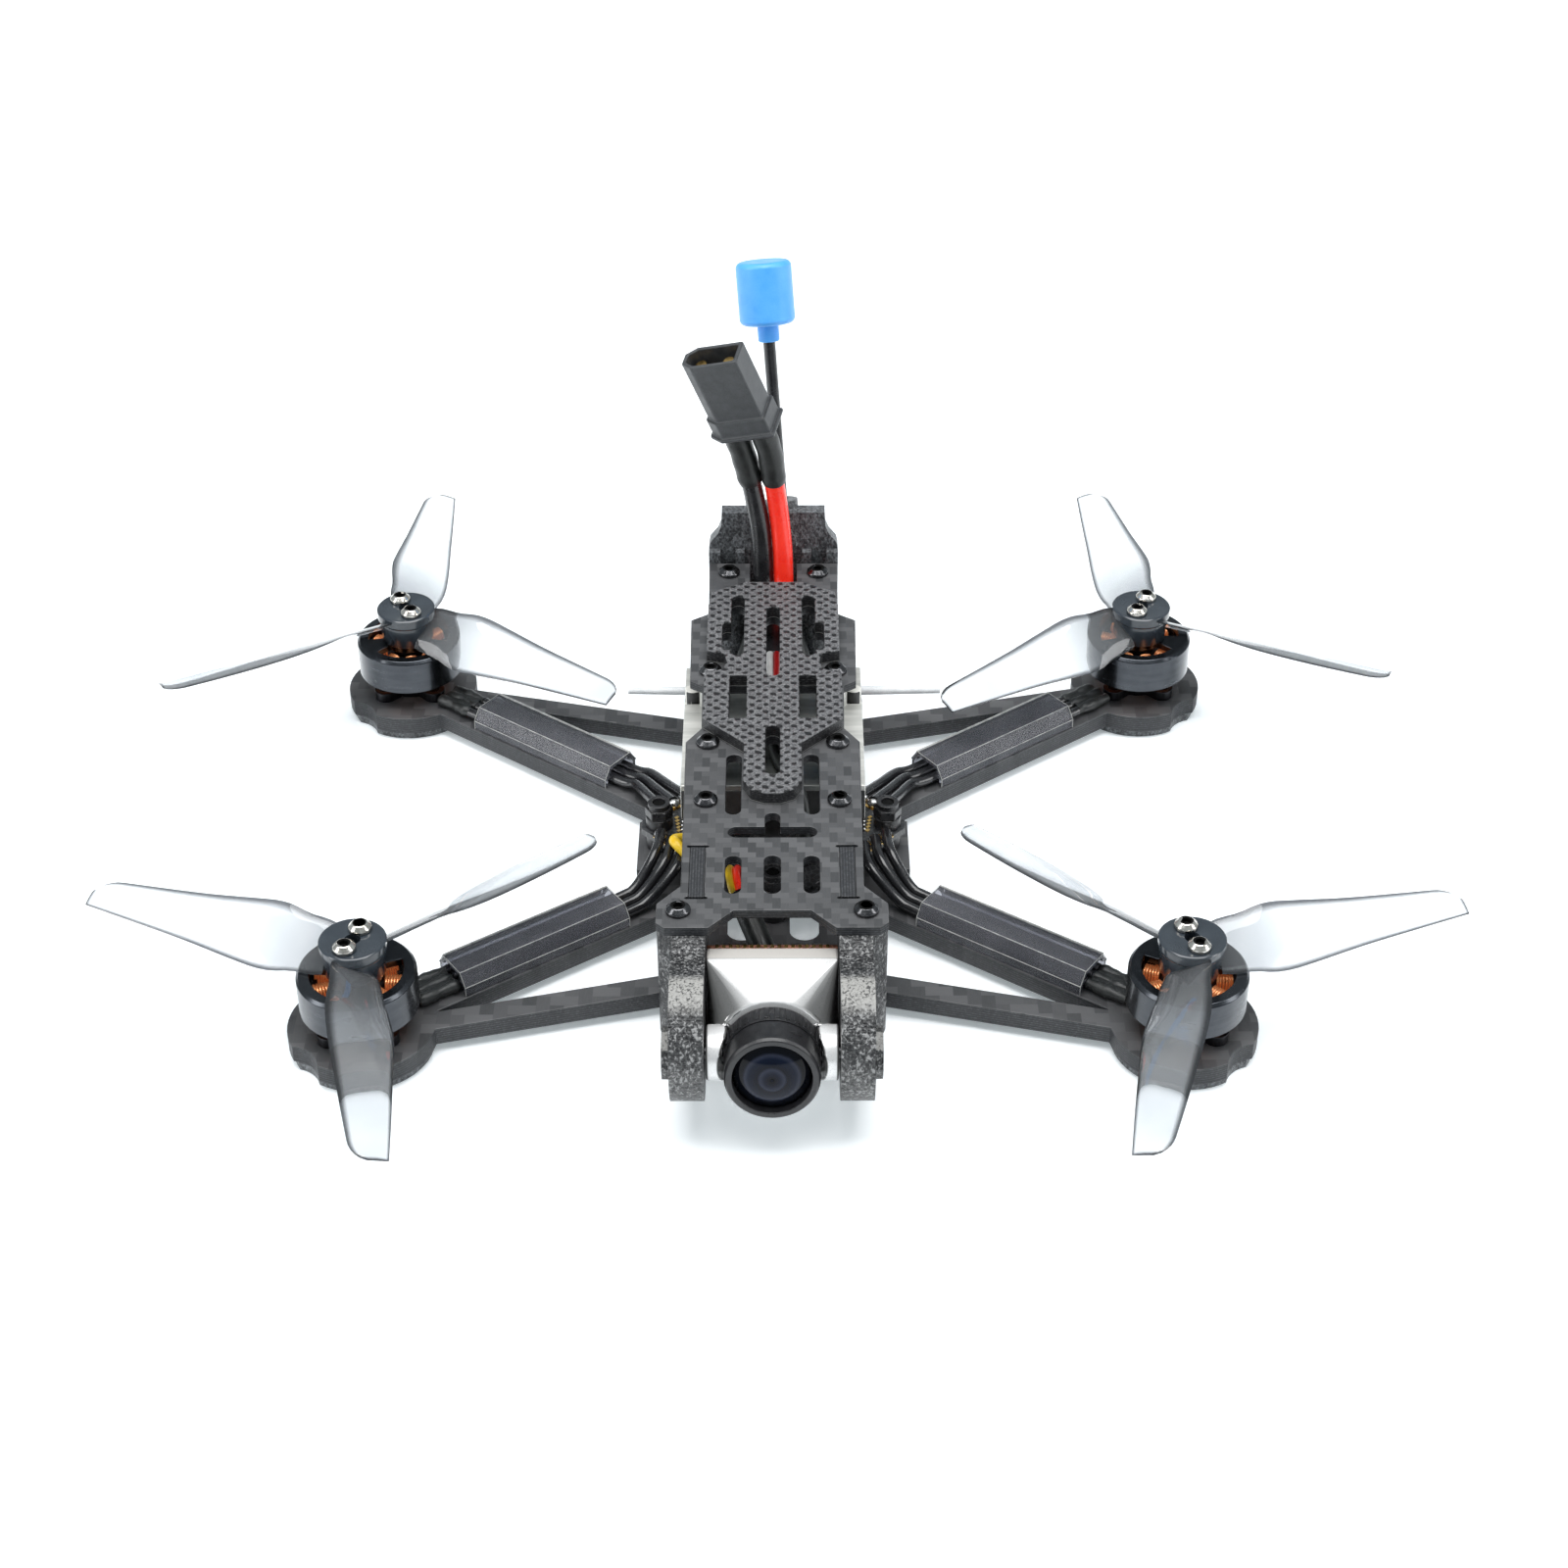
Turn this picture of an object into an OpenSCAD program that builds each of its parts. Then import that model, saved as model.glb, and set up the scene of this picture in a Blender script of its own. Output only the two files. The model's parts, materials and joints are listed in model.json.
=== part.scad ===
// Small FPV racing drone with four arms, a carbon frame and three-blade propellers.
// The camera end points along -Y, +Z is up and the foot pads stand on Z = 0.
// Left and right are as seen by somebody who looks at the camera end, so left is -X.

/* [Frame] */
// Half the distance between the two front motor axes
front_motor_x = 61.4; // [55:0.1:70]
// Half the distance between the two rear motor axes
rear_motor_x = 63.9; // [55:0.1:70]
// Distance of every motor axis from the middle, front to back
motor_y = 45.7; // [42:0.1:55]
// Thickness of the carbon arm plate
arm_t = 3; // [2:0.5:5]
// Width of the main strut of an arm
strut_w = 8.4; // [7:0.1:10]
// Width of the thin brace of an arm
brace_w = 4; // [3:0.1:6]
// Thickness of the rubber foot under each motor
foot_t = 1.5; // [1:0.1:3]
// Length of the standoffs between the two plates
standoff_h = 20.5; // [19:0.5:24]
// Thickness of the carbon top plate
top_t = 1.5; // [1.5:0.5:3]
// Thickness of the carbon side plates
side_t = 2.2; // [1.5:0.1:2.4]
// Thickness of the rubber battery pad
pad_t = 2.2; // [1:0.1:3]

/* [Motors] */
// Outer diameter of a motor bell
bell_d = 17.9; // [17.5:0.1:19]
// Height of the bell wall
bell_h = 6.3; // [6:0.1:8]
// Gap between the arm plate and the bell
bell_gap = 3.8; // [3:0.1:5]
// Diameter of the circle of motor mounting screws
motor_pcd = 12; // [9:0.5:12]
// Diameter of the motor shaft
shaft_d = 1.5; // [1.5:0.5:2]

/* [Propellers] */
// Radius of a propeller to its blade tips
prop_r = 44; // [35:0.1:44]
// Diameter of the propeller hub
hub_d = 10; // [9:0.1:11]
// Height of the propeller hub
hub_h = 5.9; // [5:0.1:7]
// Blade pitch, the advance in one turn
pitch = 60; // [30:1:80]

/* [Electronics] */
// Position of the board stack, front to back
stack_y = -2; // [-4:0.5:0]
// Half the diagonal of the board's square of mounting holes
stack_r = 18.4; // [18:0.1:19]
// Height of the board's lower face above the arm plate
board_gap = 3; // [2.5:0.1:4]
// Thickness of the circuit board
board_t = 1.2; // [1:0.1:1.6]
// Travel of the boot button
button_travel = 0.25; // [0.2:0.05:0.4]

/* [Camera] */
// Camera pivot, front to back
camera_y = -63.5; // [-66:0.1:-62]
// Camera pivot, height
camera_z = 14; // [13:0.1:15]
// Upward tilt of the camera at rest
camera_tilt = 6.7; // [0:0.1:20]
// Width of the square camera case
camera_w = 19; // [19:0.1:19.2]

/* [Antenna and lead] */
// Diameter of the video antenna head
antenna_d = 9.5; // [8:0.1:12]
// Height of the video antenna head
antenna_h = 10.6; // [9:0.1:14]
// Outer diameter of a battery lead
lead_d = 3.4; // [2.8:0.1:3.6]

/* [Hidden] */
$fn = 48;

arm_top = foot_t + arm_t;
plate_low = arm_top + standoff_h;
plate_top = plate_low + top_t;
pad_top = plate_top + pad_t;
board_low = arm_top + board_gap;
board_top = board_low + board_t;
bell_low = arm_top + bell_gap;
bell_top = bell_low + bell_h;
hub_top = bell_top + hub_h;
strut_y = -2.5;
play = 0.1;

// One row for each motor: x, y, turning sense (1 is clockwise from above), angle of the
// first blade
MOTORS = [
    [-front_motor_x, -motor_y, 1, 160],
    [front_motor_x, -motor_y, -1, 16],
    [-rear_motor_x, motor_y, -1, 208],
    [rear_motor_x, motor_y, 1, -24]
];
// Where each arm's cover starts, as a distance from the motor axis
COVER_START = [15.5, 15.5, 18.4, 18.4];
cover_len = 29.4;
cover_w = 8;
cover_h = 3.8;
cover_wall = 0.8;
wire_d = 1.7;
wire_pitch = 1.95;
// Both ends of each brace: beside the motor, and at the spine
BRACES = [
    [[-front_motor_x, -motor_y - 2.4], [-13, -36]],
    [[front_motor_x, -motor_y - 2.4], [13, -36]],
    [[-rear_motor_x, motor_y - 1.2], [-11, 31.2]],
    [[rear_motor_x, motor_y - 1.2], [11, 31.2]]
];

// Frame screw positions on the left half, front to back
FRAME_SCREWS = [[-13.6, -47], [-10.2, -20], [-7.6, 46.7]];
// The video transmitter's screws on the left half
VTX_SCREWS = [[-10.2, -4.6], [-10.2, 15.9]];

// ---------- helpers ----------

module both() {
    children();
    mirror([1, 0, 0]) children();
}

// A closed outline from the points of one half, in order from one end to the other
function mirrored(half) =
    concat(half, [for (i = [len(half) - 1 : -1 : 0]) [-half[i][0], half[i][1]]]);

// A profile drawn in Y and Z, extruded along X from x
module along_x(x, t) {
    translate([x, 0, 0]) rotate([90, 0, 90]) linear_extrude(t) children();
}

module tube(ro, ri, h) {
    difference() {
        cylinder(r = ro, h = h);
        translate([0, 0, -1]) cylinder(r = ri, h = h + 2);
    }
}

// A slot with round ends, from one centre to another
module slot_2d(a, b, w) {
    d = b - a;
    translate(a) circle(d = w);
    translate(b) circle(d = w);
    translate(a) rotate(atan2(d[1], d[0])) translate([0, -w / 2]) square([norm(d), w]);
}

// A rectangle with rounded corners, made of exact arcs
module round_rect(w, h, r) {
    square([w - 2 * r, h], center = true);
    square([w, h - 2 * r], center = true);
    for (sx = [-1, 1], sy = [-1, 1])
        translate([sx * (w / 2 - r), sy * (h / 2 - r)]) circle(r = r);
}

// M2 button head with its hexagon socket, its seat at z = 0, and the shank below it
module button_screw(shank, head_r = 1.85, head_h = 1.2) {
    difference() {
        union() {
            cylinder(r = head_r, h = head_h * 0.45);
            translate([0, 0, head_h * 0.45])
                cylinder(r1 = head_r, r2 = head_r * 0.62, h = head_h * 0.55);
        }
        translate([0, 0, head_h * 0.3]) cylinder(r = 0.75, h = 2, $fn = 6);
    }
    translate([0, 0, -shank]) cylinder(r = 1, h = shank + 0.1);
}

// Unit vector along p
function unit(p) = p / norm(p);

// Direction of the path at point i
function heading(p, i) = unit(p[min(i + 1, len(p) - 1)] - p[max(i - 1, 0)]);

// A round cord along the points p, as one closed polyhedron
module sweep(p, r, sides = 8, side_ref = [0, 0, 1]) {
    n = len(p);
    rings = [
        for (i = [0 : n - 1])
            let (t = heading(p, i), u = unit(cross(t, side_ref)), v = cross(u, t))
                for (k = [0 : sides - 1])
                    p[i] + r * (cos(k * 360 / sides) * u + sin(k * 360 / sides) * v)
    ];
    walls = [
        for (i = [0 : n - 2], k = [0 : sides - 1], half = [0, 1])
            let (a = i * sides + k, b = i * sides + (k + 1) % sides)
                half == 0 ? [a, b, b + sides] : [a, b + sides, a + sides]
    ];
    first_cap = [for (k = [sides - 1 : -1 : 0]) k];
    last_cap = [for (k = [0 : sides - 1]) (n - 1) * sides + k];
    polyhedron(points = rings, faces = concat([first_cap], walls, [last_cap]));
}

// ---------- frame ----------

// Direction from motor m along its strut towards the middle of the frame
function strut_dir(m) = unit([0 - m[0], strut_y - m[1]]);

function strut_side(m) = [-strut_dir(m)[1], strut_dir(m)[0]];

// A point on the strut of motor m: a distance along it, a distance across it
function on_strut(m, along, across) =
    [m[0], m[1]] + along * strut_dir(m) + across * strut_side(m);

// Round pad with a scallop on each of its two outer diagonals
module motor_pad_2d(m) {
    translate([m[0], m[1]]) difference() {
        circle(r = 11.2);
        for (a = [45, 135, 225, 315])
            if (cos(a) * m[0] + sin(a) * m[1] > 1)
                rotate(a) translate([14.6, 0]) circle(r = 4.9);
    }
}

module arm_outline() {
    // The four arms with their struts and braces
    for (i = [0 : 3]) {
        m = MOTORS[i];
        motor_pad_2d(m);
        slot_2d([m[0], m[1]], [0, strut_y], strut_w);
        slot_2d(BRACES[i][0], BRACES[i][1], brace_w);
    }
    // The spine that carries the body
    polygon(mirrored([
        [-11.6, 49.2], [-11.6, 34], [-14, 31], [-14, -33], [-16.4, -37], [-16.4, -44],
        [-13.6, -47.4]
    ]));
    for (s = [-1, 1]) translate([s * 13.6, -47]) circle(r = 2.8);
    translate([-22, strut_y - 6]) square([44, 13]);
}

module arm_windows() {
    for (s = [-1, 1]) {
        slot_2d([s * 4.9, -24.2], [s * 4.9, -13.5], 4.6);
        slot_2d([s * 5.2, -41.5], [s * 5.2, -31.5], 5);
        slot_2d([s * 6.2, 24.5], [s * 6.2, 39.5], 5.6);
    }
    slot_2d([0, -5], [0, 3], 9);
}

module arm_plate() {
    color([0.13, 0.13, 0.14])
    difference() {
        translate([0, 0, foot_t]) linear_extrude(arm_t) arm_outline();
        translate([0, 0, foot_t - 1]) linear_extrude(arm_t + 2) arm_windows();
        // Board stack holes
        for (a = [0, 90, 180, 270])
            translate([0, stack_y, 0]) rotate(a) translate([stack_r, 0, 0])
                cylinder(r = 1.1, h = 20, center = true);
        // Standoff screw holes
        both() for (p = FRAME_SCREWS)
            translate([p[0], p[1], 0]) cylinder(r = 1.1, h = 20, center = true);
        // Motor holes: four screws and the middle relief
        for (m = MOTORS) translate([m[0], m[1], 0]) {
            cylinder(r = 3.2, h = 20, center = true);
            for (a = [45 : 90 : 315]) rotate(a) translate([motor_pcd / 2, 0, 0])
                cylinder(r = 1.1, h = 20, center = true);
        }
        // Slots for the side plates' lower tabs
        both() translate([-12.2 - play / 2, -43.5 + 4, 0])
            cube([side_t + play, 5, 10]);
    }
}

module foot_pads() {
    color([0.08, 0.08, 0.09])
    for (m = MOTORS)
        difference() {
            linear_extrude(foot_t) intersection() {
                motor_pad_2d(m);
                translate([m[0], m[1]]) circle(r = 10.6);
            }
            translate([m[0], m[1], -1]) cylinder(r = 3.2, h = 5);
            for (a = [45 : 90 : 315])
                translate([m[0], m[1], -1]) rotate(a) translate([motor_pcd / 2, 0, 0])
                    cylinder(r = 2.05, h = 5);
        }
}

// The left half of the top plate's outline, from the rear notch to the front notch
TOP_HALF = [
    [-4, 42], [-4, 50.1], [-11.1, 50.1], [-10.9, 33.6], [-13.8, 31.6], [-13.5, 13.1],
    [-11.5, 11.7], [-11.3, -0.4], [-13.7, -4.2], [-13.4, -41], [-16.8, -45.2],
    [-16.8, -49.6], [-15.6, -50.8], [-9.2, -50.8], [-5.6, -46.8]
];

module top_windows_2d() {
    // Three strap slots at the front
    slot_2d([0, -41.6], [0, -35], 2.5);
    // T slot
    slot_2d([-5.4, -27.9], [5.4, -27.9], 2.6);
    slot_2d([0, -27], [0, -24.2], 2.3);
    // Middle slot under the battery pad
    slot_2d([0, 12.5], [0, 31.4], 2.3);
    slot_2d([0, -14.8], [0, -3.9], 2.3);
    for (s = [-1, 1]) {
        slot_2d([s * 5.8, -41.6], [s * 5.8, -35], 2.4);
        slot_2d([s * 6, -22.2], [s * 6, -8.9], 2.4);
        slot_2d([s * 5.9, 18.6], [s * 5.9, 34.8], 2.2);
        slot_2d([s * 7.6, 20], [s * 7.6, 26.6], 2);
        translate([s * 5.6 - 1.4, -0.7]) square([2.8, 12.3]);
    }
}

module top_plate() {
    color([0.15, 0.15, 0.16])
    difference() {
        translate([0, 0, plate_low]) linear_extrude(top_t) difference() {
            polygon(mirrored(TOP_HALF));
            top_windows_2d();
            // Slots for the side plates' upper tabs, with relieved corners
            for (s = [-1, 1]) translate([s * 11.1, -37.6]) {
                square([side_t + play, 12 + play], center = true);
                for (e = [-1, 1])
                    slot_2d([-1.4, e * 6.2], [1.4, e * 6.2], 0.5);
            }
        }
        both() for (p = concat(FRAME_SCREWS, VTX_SCREWS))
            translate([p[0], p[1], plate_low - 1]) cylinder(r = 1.1, h = top_t + 2);
    }
}

module side_plates() {
    color([0.12, 0.12, 0.13])
    both() along_x(-11.1 - side_t / 2, side_t) difference() {
        union() {
            translate([-43.7, arm_top]) square([15.7, standoff_h]);
            translate([-43.6, plate_low]) square([12, top_t]);
            translate([-39.45, foot_t]) square([4.9, arm_t + 0.1]);
        }
        translate([-35.8, arm_top + 10]) circle(r = 5);
        translate([-28, arm_top + 10]) circle(r = 3);
    }
}

module standoffs() {
    color([0.2, 0.2, 0.22])
    both() for (p = FRAME_SCREWS)
        translate([p[0], p[1], arm_top]) difference() {
            cylinder(r = 2.2, h = standoff_h);
            translate([0, 0, -1]) cylinder(r = 1.02, h = standoff_h + 2);
        }
}

module top_screws() {
    color([0.25, 0.25, 0.26])
    both() for (p = FRAME_SCREWS)
        translate([p[0], p[1], plate_top]) button_screw(6);
}

module bottom_screws() {
    color([0.25, 0.25, 0.26])
    both() for (p = FRAME_SCREWS)
        translate([p[0], p[1], foot_t]) mirror([0, 0, 1]) button_screw(8);
}

// ---------- battery pad ----------

// The left half of the pad's outline, from the rear to the front
PAD_HALF = [
    [-4.7, 40.4], [-10.4, 37.2], [-10.9, 33], [-10.9, 18.9], [-8, 18.1], [-7.6, 16],
    [-8, 13.6], [-11.1, 12], [-11.1, -0.6], [-4.5, -7.4], [-4.5, -17.4], [-3.4, -19.8],
    [-1.2, -20.9]
];

module battery_pad() {
    color([0.17, 0.17, 0.18])
    translate([0, 0, plate_top]) linear_extrude(pad_t) difference() {
        polygon(mirrored(PAD_HALF));
        slot_2d([0, 12.6], [0, 31.3], 2.2);
        slot_2d([0, -14.8], [0, -3.9], 2.3);
        for (s = [-1, 1]) {
            slot_2d([s * 5.9, 18.6], [s * 5.9, 34.8], 2.2);
            slot_2d([s * 7.5, 20], [s * 7.5, 26.6], 1.9);
            translate([s * 5.6 - 1.4, -0.7]) square([2.8, 12.3]);
        }
    }
}

// ---------- camera mounts ----------

// Side view of a cheek: a disc round the camera pivot and a web up to the frame
module cheek_2d() {
    translate([-61.5, 15.6]) circle(r = 9.4);
    polygon([
        [-44.3, arm_top], [-44.3, plate_low], [-50.8, plate_low], [-53, 23.4],
        [-58.5, 24.5], [-61.5, 25], [-61.5, 6.2], [-52, arm_top + 0.5]
    ]);
}

module camera_mount_half() {
    difference() {
        union() {
            along_x(-14.5, 4.85) cheek_2d();
            // The boss that clamps the standoff
            translate([-13.6, -47, arm_top]) cylinder(r = 3.2, h = standoff_h);
            // The guard over the pivot screw
            translate([-14.4, camera_y, camera_z]) rotate([0, -90, 0])
                cylinder(r = 3.8, h = 1.3, $fn = 8);
        }
        translate([-13.6, -47, 0]) cylinder(r = 2.25, h = 40);
        // Pivot screw bore with a recess for its head
        translate([0, camera_y, camera_z]) rotate([0, -90, 0]) {
            cylinder(r = 1.06, h = 30);
            translate([0, 0, 13.4]) cylinder(r = 2.15, h = 10);
        }
    }
}

module camera_mount_left() {
    color([0.2, 0.2, 0.21]) camera_mount_half();
}

module camera_mount_right() {
    color([0.2, 0.2, 0.21]) mirror([1, 0, 0]) camera_mount_half();
}

// ---------- board stack ----------

module at_stack_holes() {
    for (a = [0, 90, 180, 270])
        translate([0, stack_y, 0]) rotate(a) translate([stack_r, 0, 0]) children();
}

module flight_controller() {
    color([0.08, 0.1, 0.1])
    difference() {
        translate([0, stack_y, board_low]) linear_extrude(board_t) intersection() {
            rotate(45) square(31.6, center = true);
            square(42.6, center = true);
        }
        at_stack_holes() cylinder(r = 1.8, h = 30);
    }
}

module on_board(x, y, turn = 0) {
    translate([x, stack_y + y, board_top]) rotate(turn) children();
}

module fc_components() {
    color([0.1, 0.1, 0.1]) {
        // Processor, gyro and power stage chips
        on_board(0, -2, 45) translate([-3.5, -3.5, 0]) cube([7, 7, 0.9]);
        on_board(0, 6, 45) translate([-1.5, -1.5, 0]) cube([3, 3, 0.8]);
        for (sx = [-1, 1], k = [0 : 2])
            on_board(sx * (8 + k * 1.9), 2.6 - k * 3.6, 45)
                translate([-1.4, -1.4, 0]) cube([2.8, 2.8, 0.9]);
        on_board(0, -10, 45) translate([-2, -2, 0]) cube([4, 4, 0.8]);
        // Base of the boot button
        on_board(8.4, 9, 45) translate([-1.6, -1.2, 0]) difference() {
            cube([3.2, 2.4, 1.1]);
            translate([1.6, 1.2, 0.4]) cylinder(r = 0.65, h = 2);
        }
    }
}

module boot_button() {
    color([0.85, 0.82, 0.75])
    on_board(8.4, 9, 45) translate([0, 0, 0.4 + button_travel + 0.1])
        cylinder(r = 0.6, h = 1.1);
}

module usb_port() {
    color([0.75, 0.75, 0.77])
    on_board(-9.55, 8.85, 45) difference() {
        translate([-3.7, -2.6, 0]) cube([7.4, 6.2, 2.8]);
        translate([-3.2, -1.8, 0.45]) cube([6.4, 8, 1.9]);
    }
}

module stack_dampers() {
    color([0.06, 0.06, 0.06])
    at_stack_holes() difference() {
        union() {
            translate([0, 0, arm_top]) cylinder(r = 2.2, h = board_gap);
            translate([0, 0, arm_top]) cylinder(r = 1.75, h = board_gap + board_t + 0.5);
            translate([0, 0, board_top]) cylinder(r = 2.2, h = 2);
        }
        cylinder(r = 1.05, h = 30);
    }
}

module stack_screws() {
    color([0.2, 0.2, 0.21])
    at_stack_holes() {
        translate([0, 0, foot_t]) mirror([0, 0, 1]) button_screw(board_top - foot_t + 4.3);
    }
}

module stack_nuts() {
    color([0.12, 0.12, 0.12])
    at_stack_holes() translate([0, 0, board_top + 2]) difference() {
        union() {
            cylinder(r = 2.3, h = 1.6, $fn = 6);
            translate([0, 0, 1.6]) cylinder(r = 1.8, h = 1);
        }
        translate([0, 0, -1]) cylinder(r = 1.02, h = 5);
    }
}

// ---------- video transmitter ----------

vtx_low = 14;
vtx_top = 20.5;
vtx_front = -7.7;
vtx_rear = 26.3;
vtx_half = 14.6;

module vtx_posts() {
    both() for (p = VTX_SCREWS) translate([p[0], p[1], 0]) children();
}

module vtx_case() {
    color([0.72, 0.72, 0.72]) {
        difference() {
            translate([-vtx_half, vtx_front, vtx_low])
                cube([2 * vtx_half, vtx_rear - vtx_front, vtx_top - 1 - vtx_low]);
            translate([-vtx_half + 1, vtx_front + 1, vtx_low + 1])
                cube([2 * vtx_half - 2, vtx_rear - vtx_front - 2, 20]);
        }
        // Posts that stand beside the top plate
        both() translate([-13.2, 16.9, vtx_low + 0.5]) cylinder(r = 1.3, h = 8);
    }
}

module vtx_lid() {
    color([0.78, 0.78, 0.78])
    difference() {
        union() {
            translate([-vtx_half, vtx_front, vtx_top - 1])
                cube([2 * vtx_half, vtx_rear - vtx_front, 1]);
            // Spacers up to the top plate
            vtx_posts() translate([0, 0, vtx_top - 0.1])
                cylinder(r = 2, h = plate_low - vtx_top + 0.1);
        }
        vtx_posts() cylinder(r = 1.02, h = 40);
        both() translate([-15, 15.4, vtx_low]) cube([3.4, 3, 20]);
    }
}

module vtx_board() {
    color([0.1, 0.25, 0.15])
    translate([0, 9.3, vtx_low + 2]) {
        translate([-11.4, -15.5, 0]) cube([22.8, 31, 1]);
        translate([-5, -8, 1]) cube([9, 9, 1.2]);
        translate([-6, 5, 1]) cube([12, 6, 1]);
    }
}

module vtx_screws() {
    color([0.16, 0.16, 0.17])
    vtx_posts() translate([0, 0, plate_top]) button_screw(7);
}

// ---------- receiver ----------

module receiver() {
    color([0.1, 0.2, 0.35]) {
        translate([-5.5, 27.2, arm_top]) cube([11, 14, 1]);
        translate([-3.5, 33.5, arm_top + 1]) cube([5, 5, 0.9]);
        translate([-1, 29, arm_top + 1]) cube([3, 2.5, 1.2]);
    }
}

module receiver_antenna() {
    color([0.9, 0.9, 0.88])
    translate([1.8, 32, 12]) rotate([0, 90, 0]) {
        translate([0, 0, -2.4]) cylinder(r = 1.2, h = 4.8);
        for (s = [-1, 1]) {
            translate([0, 0, s * 2.3]) mirror([0, 0, s < 0 ? 1 : 0])
                cylinder(r1 = 1, r2 = 0.55, h = 24.4);
        }
    }
}

// ---------- video antenna and its mount ----------

antenna_foot = [1.35, 56, 37];
antenna_tilt = [-18.6, 0, 0];
antenna_lean = -4.5;
stem_low = -12;
// Height of the head's lower face along the stem
head_low = 29.3;

module at_antenna() {
    translate(antenna_foot) rotate([0, antenna_lean, 0]) rotate(antenna_tilt) children();
}

module antenna_stem() {
    color([0.08, 0.08, 0.09])
    at_antenna() translate([0, 0, stem_low]) cylinder(r = 1.05, h = head_low - 3 - stem_low);
}

module antenna_head() {
    color([0.1, 0.45, 0.9])
    at_antenna() translate([0, 0, head_low - 3]) {
        cylinder(r = 1.85, h = 3.1);
        translate([0, 0, 3]) rotate_extrude()
            polygon([
                [0, 0], [antenna_d / 2 - 0.6, 0], [antenna_d / 2, 0.6],
                [antenna_d / 2, antenna_h - 0.6], [antenna_d / 2 - 0.6, antenna_h],
                [0, antenna_h]
            ]);
    }
}

module rear_mount() {
    color([0.12, 0.12, 0.13])
    difference() {
        union() {
            // Back wall, wide below and narrow above, drawn in X and Z
            translate([0, 54.4, 0]) rotate([90, 0, 0]) linear_extrude(2.6)
                polygon([
                    [-11.2, arm_top], [11.2, arm_top], [11.2, 28.6], [10.9, 29.8],
                    [9.6, 31.4], [9, 33], [8.9, 35.6], [-8.9, 35.6], [-9, 33],
                    [-9.6, 31.4], [-10.9, 29.8], [-11.2, 28.6]
                ]);
            // Sleeves round the rear standoffs, tied to the wall
            both() {
                translate([-7.6, 46.7, arm_top + 0.1]) cylinder(r = 3.4, h = standoff_h - 0.2);
                translate([-11, 46.7, arm_top + 0.1]) cube([6.8, 5.8, standoff_h - 0.2]);
                translate([-11.2, 50.3, arm_top]) cube([2, 4, 24]);
                translate([-6.6, 50.3, arm_top + 14]) cube([1.6, 2, 10]);
            }
            // Socket that holds the antenna stem
            at_antenna() translate([0, 0, -9]) cylinder(r = 2.8, h = 8);
        }
        both() translate([-7.6, 46.7, 0]) cylinder(r = 2.25, h = 30);
        at_antenna() translate([0, 0, stem_low - 0.2]) cylinder(r = 1.06, h = 40);
        // Room for the leads where they turn up
        translate([-3.9, 40, 0]) cube([7.8, 11.6, 60]);
    }
}

// ---------- power ----------

module capacitor() {
    color([0.15, 0.13, 0.35])
    translate([0, 29.5, 18]) rotate([-90, 0, 0]) {
        cylinder(r = 3.6, h = 11);
        translate([0, 0, -0.4]) cylinder(r = 3.3, h = 0.5);
    }
}

// Routes of the two battery leads, from the board's pads to the connector
LEAD_RED = [
    [6, 12, 10.5], [6.1, 17, 10.4], [6, 22, 9.8], [6, 27, 9.2], [6, 33, 9.2],
    [5.6, 37.5, 10.6], [4.4, 41, 13.6], [2.9, 43.6, 17.6], [2, 45.3, 21.8],
    [1.75, 46.2, 26], [1.6, 46.8, 31], [1.2, 47.2, 36], [0.7, 47.1, 40.6],
    [0.2, 46.5, 44.8], [-0.2, 45.6, 48.8], [-0.8, 44.7, 52.6], [-2.05, 43.9, 56.5]
];
LEAD_BLACK = [
    [-6, 12, 10.5], [-6.1, 17, 10.4], [-6, 22, 9.8], [-6, 27, 9.2], [-6, 33, 9.2],
    [-5.6, 37.5, 10.6], [-4.4, 41, 13.6], [-2.9, 43.6, 17.6], [-2, 45.3, 21.8],
    [-1.75, 46.2, 26], [-1.9, 46.8, 31], [-2.3, 47.1, 36], [-3, 47.2, 40.6],
    [-3.7, 47, 44.4], [-4.5, 46.6, 48], [-5.3, 46.1, 51.4], [-6.55, 45.4, 55.1]
];
connector_foot = [-4.3, 44.67, 55.8];
connector_turn = [9.6, -20.8, 0];
connector_yaw = -18;
pin_pitch = 5;

// Points of the list p from number a to number b
function part_of(p, a, b) = [for (i = [a : b]) p[i]];

// The end of a lead's route, drawn back a little from the connector
function short_end(p, share) = p[15] + share * (p[16] - p[15]);

function lead_path(p) = concat(part_of(p, 0, 15), [short_end(p, 0.95)]);

module lead_red() {
    color([0.85, 0.08, 0.05]) sweep(lead_path(LEAD_RED), lead_d / 2, 8, [1, 0, 0]);
}

module lead_black() {
    color([0.06, 0.06, 0.07]) sweep(lead_path(LEAD_BLACK), lead_d / 2, 8, [1, 0, 0]);
}

module at_connector() {
    translate(connector_foot) rotate(connector_turn) rotate([0, 0, connector_yaw]) children();
}

// Heat-shrink collars over the ends of the leads
module lead_sleeves() {
    color([0.05, 0.05, 0.05])
    for (p = [LEAD_RED, LEAD_BLACK]) difference() {
        sweep(concat(part_of(p, 14, 15), [short_end(p, 0.86)]), 2.15, 8, [1, 0, 0]);
        sweep(concat(part_of(p, 13, 16), [2 * p[16] - p[15]]), lead_d / 2 + 0.05, 8, [1, 0, 0]);
    }
}

module connector_2d(w, d, chamfer) {
    polygon([
        [w / 2, -d / 2], [w / 2, d / 2], [-w / 2 + chamfer, d / 2],
        [-w / 2, d / 2 - chamfer * 0.7], [-w / 2, -d / 2 + chamfer * 0.7],
        [-w / 2 + chamfer, -d / 2]
    ]);
}

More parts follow.
